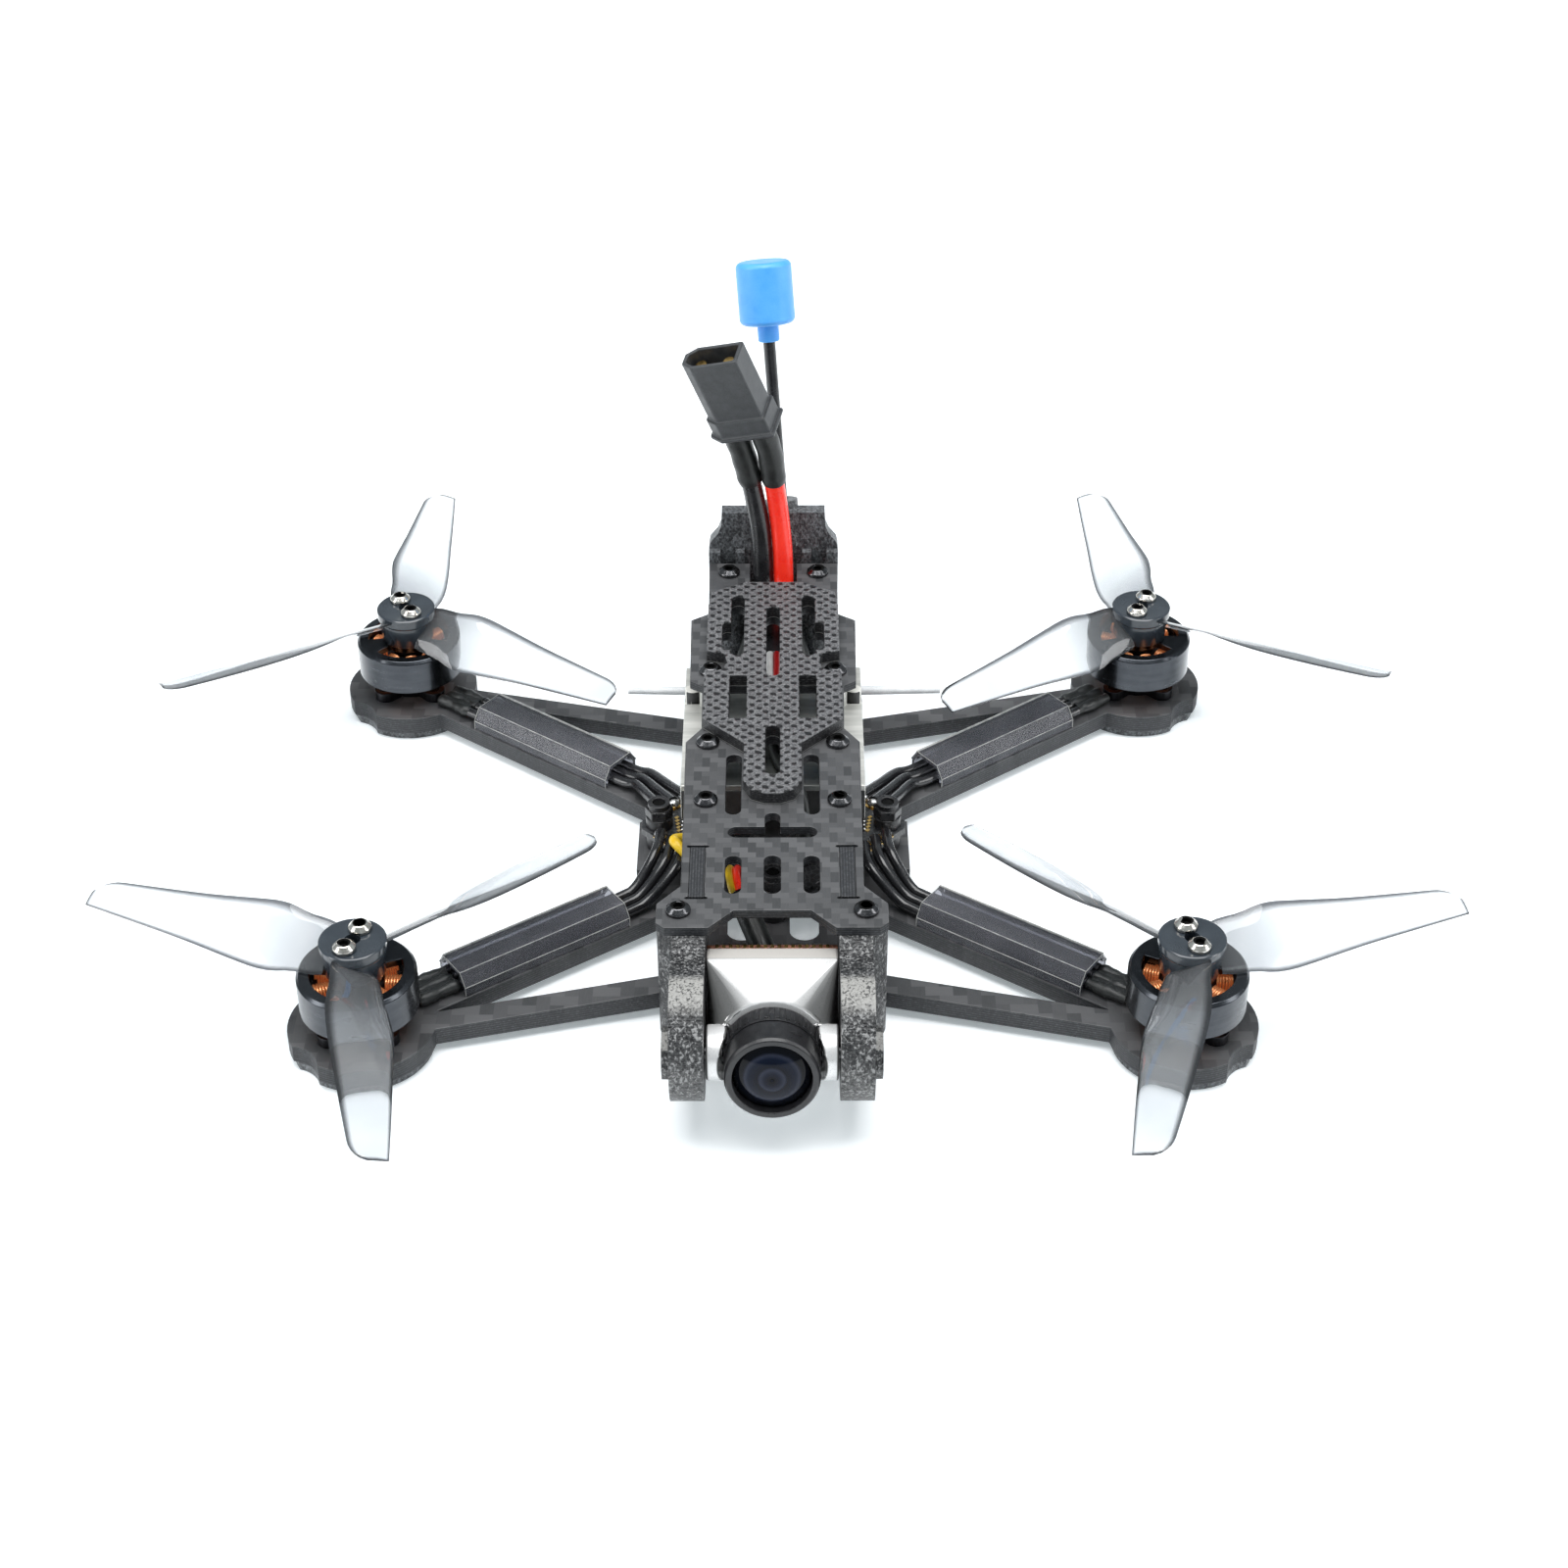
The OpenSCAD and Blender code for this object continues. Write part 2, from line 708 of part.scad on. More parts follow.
module connector_shell() {
    color([0.13, 0.13, 0.14])
    at_connector() difference() {
        union() {
            linear_extrude(0.8) connector_2d(12, 6.8, 2.4);
            linear_extrude(4) connector_2d(11, 6, 2.2);
            linear_extrude(16) connector_2d(10.2, 5.2, 2);
        }
        translate([0, 0, 7.5]) linear_extrude(20) connector_2d(8.8, 3.9, 1.6);
        for (s = [-1, 1]) translate([s * pin_pitch / 2, 0, -1]) cylinder(r = 1.01, h = 10);
    }
}

module connector_pins() {
    color([0.85, 0.65, 0.25])
    at_connector() for (s = [-1, 1])
        translate([s * pin_pitch / 2, 0, 0.05]) cylinder(r = 1, h = 14.4);
}

// Three thin wires side by side along the points p
module ribbon(p) {
    for (k = [-1, 0, 1]) sweep([for (q = p) q + [k * 1.15, 0, 0]], 0.5, 6, [1, 0, 0]);
}

module camera_cable() {
    color([0.85, 0.65, 0.1])
    ribbon([
        [0, -46.8, 11.8], [-1, -42, 14], [-3.4, -36, 16.4], [-5, -30, 17],
        [-5.6, -24, 15.6], [-5.6, -18.5, 12.4], [-5.4, -14.8, 9.3]
    ]);
}

module vtx_cable() {
    color([0.85, 0.85, 0.82])
    ribbon([
        [0, 24, 21.2], [0, 12, 21.3], [0.6, 0, 21.5], [2.8, -7.2, 21.7], [4.4, -10.2, 19.4],
        [4.8, -11.4, 13.6], [4.8, -12.4, 9.3]
    ]);
}

// ---------- motors ----------

module at_motors() {
    for (m = MOTORS) translate([m[0], m[1], 0]) children();
}

module motor_bases() {
    color([0.1, 0.1, 0.1])
    at_motors() difference() {
        union() {
            translate([0, 0, arm_top]) linear_extrude(1.8) {
                circle(r = 4.4);
                for (a = [45 : 90 : 315]) rotate(a)
                    slot_2d([3, 0], [motor_pcd / 2, 0], 3.8);
            }
            translate([0, 0, arm_top]) cylinder(r = 2.8, h = 8);
        }
        translate([0, 0, arm_top - 1]) cylinder(r = 2.02, h = 12);
        for (a = [45 : 90 : 315]) rotate(a) translate([motor_pcd / 2, 0, 0])
            cylinder(r = 1.02, h = 20);
    }
}

module bearings() {
    color([0.8, 0.8, 0.8])
    at_motors() for (z = [arm_top + 0.4, arm_top + 6])
        translate([0, 0, z]) tube(2.02, shaft_d / 2 + 0.03, 1.6);
}

stator_low = arm_top + 3.4;

// A ring between two radii, cut to a sector of a given half angle about +X
module ring_sector_2d(ro, ri, half) {
    intersection() {
        difference() {
            circle(r = ro);
            circle(r = ri);
        }
        polygon([[0, 0], [2 * ro, -2 * ro * tan(half)], [2 * ro, 2 * ro * tan(half)]]);
    }
}

// Laminated stator core with nine teeth
module stators() {
    color([0.35, 0.35, 0.36])
    at_motors() translate([0, 0, stator_low]) linear_extrude(4) difference() {
        union() {
            circle(r = 3.9);
            for (k = [0 : 8]) rotate(k * 40) {
                translate([0, -0.75]) square([6.5, 1.5]);
                ring_sector_2d(6.95, 6.2, 15);
            }
        }
        circle(r = 2.8);
    }
}

// Copper coils round the teeth
module windings() {
    color([0.8, 0.4, 0.2])
    at_motors() translate([0, 0, stator_low - 0.6])
        for (k = [0 : 8]) rotate(k * 40) difference() {
            translate([4.1, -1.3, 0]) cube([1.95, 2.6, 5.2]);
            translate([3, -0.75, 0.6]) cube([4, 1.5, 4]);
        }
}

module motor_screws() {
    color([0.2, 0.2, 0.2])
    at_motors() for (a = [45 : 90 : 315]) rotate(a)
        translate([motor_pcd / 2, 0, foot_t]) mirror([0, 0, 1]) button_screw(4.6, 1.8, 1.1);
}

// The turning bell with its magnets and its shaft, at the origin
module bell() {
    hub_r = 3.9;
    difference() {
        union() {
            translate([0, 0, bell_low]) cylinder(d = bell_d, h = bell_h - 0.5);
            translate([0, 0, bell_top - 0.5])
                cylinder(d1 = bell_d, d2 = bell_d - 1, h = 0.5);
        }
        translate([0, 0, bell_low - 1]) cylinder(r = 8.1, h = bell_h - 0.2);
        // Windows between the three spokes
        translate([0, 0, bell_top - 2]) linear_extrude(3) for (k = [0 : 2])
            rotate(k * 120 + 18) difference() {
                intersection() {
                    circle(r = 7);
                    polygon([[0, 0], [14, 0], [14, 14], [14 * cos(84), 14 * sin(84)]]);
                }
                circle(r = hub_r);
            }
        // Threaded holes for the propeller screws
        for (s = [-1, 1]) translate([0, s * 2.5, bell_top - 2]) cylinder(r = 1.01, h = 3);
    }
    translate([0, 0, arm_top + 0.6]) cylinder(d = shaft_d, h = bell_top - arm_top - 1.8);
    // Magnets round the inside of the wall
    for (k = [0 : 11]) rotate(k * 30) translate([0, 0, bell_low + 0.3])
        linear_extrude(4.6) ring_sector_2d(8.1, 7.3, 12);
}

module bell_at(i) {
    m = MOTORS[i];
    color([0.09, 0.09, 0.1]) translate([m[0], m[1], 0]) rotate(m[3]) bell();
}

module bell_front_left() { bell_at(0); }
module bell_front_right() { bell_at(1); }
module bell_rear_left() { bell_at(2); }
module bell_rear_right() { bell_at(3); }

// ---------- arm wiring ----------

// Moves to the arm plate's top at motor m, with +X along its strut
module on_arm(m) {
    translate([m[0], m[1], arm_top])
        rotate(atan2(strut_dir(m)[1], strut_dir(m)[0])) children();
}

module arm_covers() {
    w = cover_w / 2;
    h = cover_h;
    t = cover_wall;
    color([0.6, 0.62, 0.64])
    for (i = [0 : 3]) on_arm(MOTORS[i]) along_x(COVER_START[i], cover_len) difference() {
        polygon([[-w, 0], [-w, h - 2.1], [-w + 1.4, h], [w - 1.4, h], [w, h - 2.1], [w, 0]]);
        polygon([
            [-w + t, -1], [-w + t, h - 2.4], [-w + 1.75, h - t],
            [w - 1.75, h - t], [w - t, h - 2.4], [w - t, -1]
        ]);
    }
}

// Pad of wire k on the board for motor m, k from -1 to 1
function wire_pad(m, k) = [
    sign(m[0]) * (16.3 + 1.75 * k),
    stack_y + sign(m[1]) * (5 - 1.75 * k),
    board_top + 0.95
];

wire_low = arm_top + 1.2;
sleeve_end = 15.4;

// Point of wire k over the strut of motor m
function wire_on_strut(m, along, k) =
    let (p = on_strut(m, along, sign(m[0]) * sign(m[1]) * k * wire_pitch))
        [p[0], p[1], wire_low];

// Route of wire k of motor number i, from the board to the sleeve
function wire_route(i, k) =
    let (m = MOTORS[i], pad = wire_pad(m, k), far = COVER_START[i] + cover_len,
         out = wire_on_strut(m, far + 5, k) + [0, 0, 0.7],
         bend = m[1] < 0 ? pad + [sign(m[0]) * 0.7, -6, 0.2] : (pad + out) / 2)
        [
            pad,
            bend,
            out,
            wire_on_strut(m, far + 2, k),
            wire_on_strut(m, far - 6, k),
            wire_on_strut(m, COVER_START[i] + 6, k),
            wire_on_strut(m, sleeve_end + 0.1, k)
        ];

module motor_wires() {
    color([0.05, 0.05, 0.05])
    for (i = [0 : 3], k = [-1, 0, 1]) sweep(wire_route(i, k), wire_d / 2);
}

// Heat-shrink over the joints between the motor's own leads and the wires
module wire_sleeves() {
    color([0.07, 0.07, 0.07])
    for (m = MOTORS) on_arm(m) {
        for (k = [-1, 0, 1]) translate([8.6, k * wire_pitch, wire_low - arm_top])
            rotate([0, 90, 0]) cylinder(r = 1.1, h = sleeve_end - 8.6);
        translate([8.6, -wire_pitch, 0.25]) cube([sleeve_end - 8.6, 2 * wire_pitch, 1.9]);
    }
}

// ---------- camera ----------

module at_camera() {
    translate([0, camera_y, camera_z]) rotate([-camera_tilt, 0, 0]) children();
}

// Moves to the camera's pivot with +Z along the lens
module along_lens() {
    at_camera() rotate([90, 0, 0]) children();
}

module camera_body() {
    w = camera_w / 2;
    color([0.75, 0.75, 0.76])
    along_lens() difference() {
        union() {
            translate([-w, -w, -12.5]) cube([camera_w, camera_w, 2.8]);
            hull() {
                translate([-w, -w, -9.8]) cube([camera_w, camera_w, 0.1]);
                translate([0, 0, -1.4]) cylinder(r = 7.9, h = 0.1, $fn = 32);
            }
            both() translate([-9.4, 0, 0]) rotate([0, 90, 0]) cylinder(r = 4, h = 3.2);
        }
        // Room for the lens ring between the lugs
        translate([0, 0, -1.25]) cylinder(r = 7.6, h = 20);
        // Lens thread and the pivot screws' threads
        translate([0, 0, -9]) cylinder(r = 6.02, h = 20);
        both() translate([-10, 0, 0]) rotate([0, 90, 0]) cylinder(r = 1.01, h = 3.2);
    }
}

module camera_board() {
    color([0.45, 0.25, 0.1])
    along_lens() {
        translate([-camera_w / 2, -camera_w / 2, -13.5]) cube([camera_w, camera_w, 0.98]);
        translate([-3, -5.5, -15.2]) cube([6, 2.4, 1.75]);
    }
}

module lens_barrel() {
    color([0.06, 0.06, 0.06])
    along_lens() difference() {
        union() {
            translate([0, 0, -8]) cylinder(r = 6, h = 11);
            translate([0, 0, 2.1]) cylinder(r = 6.85, h = 4.2);
            translate([0, 0, 6.3]) cylinder(r1 = 6.85, r2 = 6.5, h = 0.5);
        }
        translate([0, 0, 5.2]) cylinder(r = 5.7, h = 3);
        translate([0, 0, -9]) cylinder(r = 4, h = 12);
    }
}

module lens_ring() {
    color([0.05, 0.05, 0.05])
    along_lens() translate([0, 0, -1.2]) difference() {
        union() {
            cylinder(r = 6.95, h = 3.2);
            for (a = [0 : 12 : 348]) rotate(a) translate([6.6, -0.35, 0.4])
                cube([0.55, 0.7, 2.4]);
        }
        translate([0, 0, -1]) cylinder(r = 6.02, h = 6);
    }
}

module lens_glass() {
    color([0.08, 0.12, 0.2])
    along_lens() translate([0, 0, 5.2]) intersection() {
        cylinder(r = 5.65, h = 4);
        translate([0, 0, -8.8]) sphere(r = 10.6);
    }
}

module camera_screws() {
    color([0.2, 0.2, 0.21])
    at_camera() both() translate([-13.5, 0, 0]) rotate([0, -90, 0]) button_screw(6);
}

// ---------- propellers ----------

blade_steps = 16;
blade_root = 3.9;
blade_mid = bell_top + 2.9;

// Blade width at parts of the radius
CHORDS = [
    [0.08, 5.8], [0.145, 8.8], [0.2, 9], [0.27, 10.6], [0.34, 10.9], [0.45, 10], [0.6, 8.5],
    [0.8, 6.9], [0.93, 5.8], [1, 5.2]
];

function chord(r) = lookup(r / prop_r, CHORDS);

function blade_angle(r) = min(36, atan2(pitch, 2 * PI * r));

// How much of the leading half of the blade is left, less and less towards the tip
function lead_share(s) = s < 0.92 ? 1 : max(0.12, sqrt(max(0, 1 - pow((s - 0.92) / 0.08, 2))));

// Blade section: points round a thin cambered shape, from the leading edge and back
function section(r) = let (c = chord(r), t = 1.2 - 0.6 * r / prop_r, b = blade_angle(r))
    [
        for (q = [[0.5, 0], [0.25, 0.5], [-0.1, 0.62], [-0.35, 0.4], [-0.5, 0],
                  [-0.35, -0.1], [-0.1, 0.02], [0.25, 0]])
            let (x = q[0] * c * (q[0] > 0 ? lead_share(r / prop_r) : 1), y = q[1] * t)
                [r, x * cos(b) - y * sin(b), x * sin(b) + y * cos(b)]
    ];

// One blade along +X, its leading edge towards +Y
module blade() {
    n = 8;
    stations = [for (k = [0 : blade_steps]) blade_root + (prop_r - blade_root) * k / blade_steps];
    pts = [for (r = stations) for (p = section(r)) p];
    last = blade_steps * n;
    polyhedron(
        points = pts,
        faces = concat(
            [[for (k = [0 : n - 1]) k]],
            [for (i = [0 : blade_steps - 1], k = [0 : n - 1], half = [0, 1])
                let (a = i * n + k, b = i * n + (k + 1) % n)
                    half == 0 ? [a, a + n, b + n] : [a, b + n, b]],
            [[for (k = [n - 1 : -1 : 0]) last + k]]
        )
    );
}

// A propeller at the origin; sense -1 turns anticlockwise, 1 clockwise seen from above
module propeller(sense) {
    difference() {
        union() {
            translate([0, 0, bell_top]) cylinder(d = hub_d - 0.6, h = hub_h - 1.4);
            translate([0, 0, hub_top - 1.5]) cylinder(d = hub_d, h = 1.5);
            for (a = [0, 120, 240]) rotate(a) translate([0, 0, blade_mid])
                mirror([0, sense > 0 ? 1 : 0, 0]) blade();
        }
        for (s = [-1, 1]) translate([0, s * 2.5, bell_top - 1])
            cylinder(r = 1.05, h = hub_h + 2);
    }
}

module prop_at(i) {
    m = MOTORS[i];
    color([0.35, 0.36, 0.38]) translate([m[0], m[1], 0]) rotate(m[3]) propeller(m[2]);
}

module prop_front_left() { prop_at(0); }
module prop_front_right() { prop_at(1); }
module prop_rear_left() { prop_at(2); }
module prop_rear_right() { prop_at(3); }

module prop_screws_at(i) {
    m = MOTORS[i];
    color([0.75, 0.7, 0.62]) translate([m[0], m[1], hub_top]) rotate(m[3])
        for (s = [-1, 1]) translate([0, s * 2.5, 0]) button_screw(hub_h + 1, 1.75, 1.2);
}

module prop_screws_front_left() { prop_screws_at(0); }
module prop_screws_front_right() { prop_screws_at(1); }
module prop_screws_rear_left() { prop_screws_at(2); }
module prop_screws_rear_right() { prop_screws_at(3); }

arm_plate();
foot_pads();
top_plate();
side_plates();
standoffs();
top_screws();
bottom_screws();
battery_pad();
camera_mount_left();
camera_mount_right();
flight_controller();
fc_components();
usb_port();
stack_dampers();
stack_screws();
stack_nuts();
boot_button();
vtx_case();
vtx_lid();
vtx_board();
vtx_screws();
receiver();
receiver_antenna();
antenna_stem();
antenna_head();
rear_mount();
capacitor();
lead_red();
lead_black();
lead_sleeves();
connector_shell();
connector_pins();
camera_cable();
vtx_cable();
motor_bases();
bearings();
stators();
windings();
motor_screws();
motor_wires();
wire_sleeves();
arm_covers();
camera_body();
camera_board();
lens_barrel();
lens_ring();
lens_glass();
camera_screws();
bell_front_left();
bell_front_right();
bell_rear_left();
bell_rear_right();
prop_front_left();
prop_front_right();
prop_rear_left();
prop_rear_right();
prop_screws_front_left();
prop_screws_front_right();
prop_screws_rear_left();
prop_screws_rear_right();
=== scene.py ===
"""The looks of the racing drone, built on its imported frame."""

import json
import math
import random

import bmesh
import bpy
from mathutils import Matrix, Vector


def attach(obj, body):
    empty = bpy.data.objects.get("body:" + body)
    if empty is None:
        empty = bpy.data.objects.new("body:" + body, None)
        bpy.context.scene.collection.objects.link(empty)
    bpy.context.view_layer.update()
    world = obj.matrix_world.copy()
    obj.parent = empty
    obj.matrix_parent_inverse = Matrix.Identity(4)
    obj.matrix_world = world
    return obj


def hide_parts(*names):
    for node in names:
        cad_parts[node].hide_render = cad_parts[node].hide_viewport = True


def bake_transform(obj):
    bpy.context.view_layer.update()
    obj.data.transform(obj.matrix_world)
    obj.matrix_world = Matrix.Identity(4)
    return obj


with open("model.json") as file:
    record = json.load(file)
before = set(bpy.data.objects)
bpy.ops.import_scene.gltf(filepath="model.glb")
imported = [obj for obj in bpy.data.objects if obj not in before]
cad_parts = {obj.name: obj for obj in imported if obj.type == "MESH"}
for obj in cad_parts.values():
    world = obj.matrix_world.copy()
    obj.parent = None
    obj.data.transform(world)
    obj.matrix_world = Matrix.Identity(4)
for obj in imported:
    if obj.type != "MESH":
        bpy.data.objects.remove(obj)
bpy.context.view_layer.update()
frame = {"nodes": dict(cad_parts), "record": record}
NODES = frame["nodes"]
RECORD = frame["record"]
SLOT = {s["node"]: s["material_slot"] for s in RECORD["subparts"]}
BODY = {n: b for b, members in RECORD["behaviour"]["bodies"].items() for n in members}
MM = 0.001
EAST, NORTH = Vector((1, 0, 0)), Vector((0, 1, 0))

# All lengths below are in millimetres.
# For each motor: x, y, sense of turning, angle of its first blade, start of its wire cover
MOTORS = {
    "front_left": (-61.4, -45.7, 1, 160, 15.5),
    "front_right": (61.4, -45.7, -1, 16, 15.5),
    "rear_left": (-63.9, 45.7, -1, 208, 18.4),
    "rear_right": (63.9, 45.7, 1, -24, 18.4),
}
ARM_TOP = 4.5
STRUT_Y = -2.5
WIRE_PITCH = 1.95
WIRE_Z = 5.7
SLEEVE_START = 8.6
SLEEVE_END = 15.4

# The clear wire covers: length, and the half section from the foot to the middle of the top
COVER_LEN = 29.4
COVER_FOOT, COVER_KNEE, COVER_TOP = (4.0, 0.1), (4.0, 1.7), (2.6, 3.8)

# The camera's pivot, and its tilt in the photograph
PIVOT_Y = -63.5
PIVOT_Z = 14.0
CAMERA_TILT = math.radians(6.7)
BOARD_Y = -2.0
PAD_SPREAD = 1.75


# ---------- camera, light and floor ----------


def make_camera():
    """The camera at the photograph's place and angle, which were worked out from known points."""
    data = bpy.data.cameras.new("camera")
    data.sensor_width = 36
    data.lens = 61.65
    data.clip_start = 0.01
    camera = bpy.data.objects.new("camera", data)
    bpy.context.scene.collection.objects.link(camera)
    tilt, roll = math.radians(35.74), math.radians(-0.138)
    forward = Vector((0, math.cos(tilt), -math.sin(tilt)))
    right, up = Vector((1, 0, 0)), Vector((0, math.sin(tilt), math.cos(tilt)))
    across = right * math.cos(roll) + up * math.sin(roll)
    upward = up * math.cos(roll) - right * math.sin(roll)
    turn = Matrix((across, upward, -forward)).transposed().to_4x4()
    camera.matrix_world = Matrix.Translation(Vector((1.746, -351.03, 267.90)) * MM) @ turn
    bpy.context.scene.camera = camera


def make_area(name, place, size, power):
    data = bpy.data.lights.new(name, "AREA")
    data.shape = "RECTANGLE"
    data.size, data.size_y = size
    data.energy = power
    light = bpy.data.objects.new(name, data)
    bpy.context.scene.collection.objects.link(light)
    light.location = place
    light.rotation_euler = (-Vector(place)).to_track_quat("-Z", "Y").to_euler()


def make_studio():
    scene = bpy.context.scene
    scene.view_settings.view_transform = "Standard"
    world = bpy.data.worlds.new("studio")
    scene.world = world
    world.use_nodes = True
    back = world.node_tree.nodes["Background"]
    back.inputs["Color"].default_value = (0.86, 0.95, 1.0, 1)
    back.inputs["Strength"].default_value = 0.42
    make_area("softbox_top", (0.0, -0.05, 1.0), (1.0, 0.7), 13)
    make_area("softbox_left", (-1.1, -0.35, 0.6), (0.35, 0.9), 6)
    make_area("softbox_right", (1.1, -0.2, 0.6), (0.3, 0.9), 4.5)


# ---------- material building ----------


class Graph:
    """The nodes of one material, over object coordinates in millimetres."""

    def __init__(self, name, **constants):
        self.material = bpy.data.materials.new(name)
        self.material.use_nodes = True
        self.tree = self.material.node_tree
        self.shader = self.tree.nodes["Principled BSDF"]
        for key, value in constants.items():
            socket = key if key == "IOR" else key.replace("_", " ")
            self.shader.inputs[socket].default_value = value
        self.place = self.tree.nodes.new("ShaderNodeTexCoord")
        self.mm = self.scaled((1000, 1000, 1000))

    def put(self, socket, value):
        """Sets an input to a number, a tuple or another node's output."""
        if isinstance(value, bpy.types.NodeSocket):
            self.tree.links.new(value, socket)
        elif isinstance(value, tuple) and len(value) == 3 and socket.type == "RGBA":
            socket.default_value = (*value, 1)
        else:
            socket.default_value = value

    def scaled(self, scale, rotation=(0, 0, 0), location=(0, 0, 0)):
        node = self.tree.nodes.new("ShaderNodeMapping")
        node.inputs["Scale"].default_value = scale
        node.inputs["Rotation"].default_value = rotation
        node.inputs["Location"].default_value = location
        self.tree.links.new(self.place.outputs["Object"], node.inputs["Vector"])
        return node.outputs["Vector"]

    def math(self, op, a, b=0.0, c=0.0):
        node = self.tree.nodes.new("ShaderNodeMath")
        node.operation = op
        for socket, value in zip(node.inputs, (a, b, c)):
            self.put(socket, value)
        return node.outputs[0]

    def axes(self, vector=None):
        node = self.tree.nodes.new("ShaderNodeSeparateXYZ")
        self.put(node.inputs[0], vector or self.mm)
        return node.outputs[0], node.outputs[1], node.outputs[2]

    def facing(self):
        node = self.tree.nodes.new("ShaderNodeSeparateXYZ")
        self.put(node.inputs[0], self.place.outputs["Normal"])
        return node.outputs[0], node.outputs[1], node.outputs[2]

    def noise(self, scale, detail=3.0, stretch=None, distortion=0.0):
        node = self.tree.nodes.new("ShaderNodeTexNoise")
        vector = self.mm
        if stretch:
            vector = self.scaled(tuple(1000 * s for s in stretch))
        self.put(node.inputs["Vector"], vector)
        node.inputs["Scale"].default_value = scale
        node.inputs["Detail"].default_value = detail
        node.inputs["Distortion"].default_value = distortion
        return node.outputs["Fac"]

    def cells(self, scale, feature="F1"):
        node = self.tree.nodes.new("ShaderNodeTexVoronoi")
        node.feature = feature
        self.put(node.inputs["Vector"], self.mm)
        node.inputs["Scale"].default_value = scale
        return node.outputs["Distance"]

    def ranged(self, value, low, high, start=0.0, end=1.0):
        node = self.tree.nodes.new("ShaderNodeMapRange")
        self.put(node.inputs["Value"], value)
        for key, number in (
            ("From Min", start), ("From Max", end), ("To Min", low), ("To Max", high)
        ):
            node.inputs[key].default_value = number
        return node.outputs["Result"]

    def ramp(self, value, *stops):
        node = self.tree.nodes.new("ShaderNodeValToRGB")
        self.put(node.inputs["Fac"], value)
        points = node.color_ramp.elements
        while len(points) < len(stops):
            points.new(0.5)
        for point, (position, colour) in zip(points, stops):
            point.position = position
            point.color = (*colour, 1)
        return node.outputs["Color"]

    def mix(self, share, a, b):
        node = self.tree.nodes.new("ShaderNodeMix")
        node.data_type = "RGBA"
        sockets = [s for s in node.inputs if s.enabled]
        for socket, value in zip(sockets, (share, a, b)):
            self.put(socket, value)
        return next(s for s in node.outputs if s.enabled)

    def lens_frame(self):
        """Across the lens, up from its axis and out along it, from the camera's pivot."""
        x, y, z = self.axes()
        back, high = self.math("ADD", y, -PIVOT_Y), self.math("SUBTRACT", z, PIVOT_Z)
        cos, sin = math.cos(CAMERA_TILT), math.sin(CAMERA_TILT)
        rise = self.math("ADD", self.math("MULTIPLY", back, sin), self.math("MULTIPLY", high, cos))
        out = self.math("ADD", self.math("MULTIPLY", back, -cos), self.math("MULTIPLY", high, sin))
        return x, rise, out

    def bump(self, height, distance, strength=1.0, below=None):
        node = self.tree.nodes.new("ShaderNodeBump")
        self.put(node.inputs["Height"], height)
        node.inputs["Strength"].default_value = strength
        node.inputs["Distance"].default_value = distance * MM
        if below is not None:
            self.put(node.inputs["Normal"], below)
        return node.outputs["Normal"]

    def finish(self, colour, roughness, normal=None, metal=None):
        self.put(self.shader.inputs["Base Color"], colour)
        self.put(self.shader.inputs["Roughness"], roughness)
        if normal is not None:
            self.put(self.shader.inputs["Normal"], normal)
        if metal is not None:
            self.put(self.shader.inputs["Metallic"], metal)
        return self.material


def grain(name, dark, light, rough, scale=0.6, fine=5.0, depth=0.02, **constants):
    """A moulded, painted or coated surface: cloudy colour, fine grain, uneven gloss."""
    g = Graph(name, **constants)
    cloud = g.noise(scale, 4.0)
    fleck = g.noise(fine, 2.0)
    both = g.math("ADD", g.math("MULTIPLY", cloud, 0.6), g.math("MULTIPLY", fleck, 0.4))
    colour = g.ramp(both, (0.32, dark), (0.68, light))
    roughness = g.ranged(cloud, rough[0], rough[1], 0.3, 0.7)
    return g.finish(colour, roughness, g.bump(fleck, depth, 0.6))


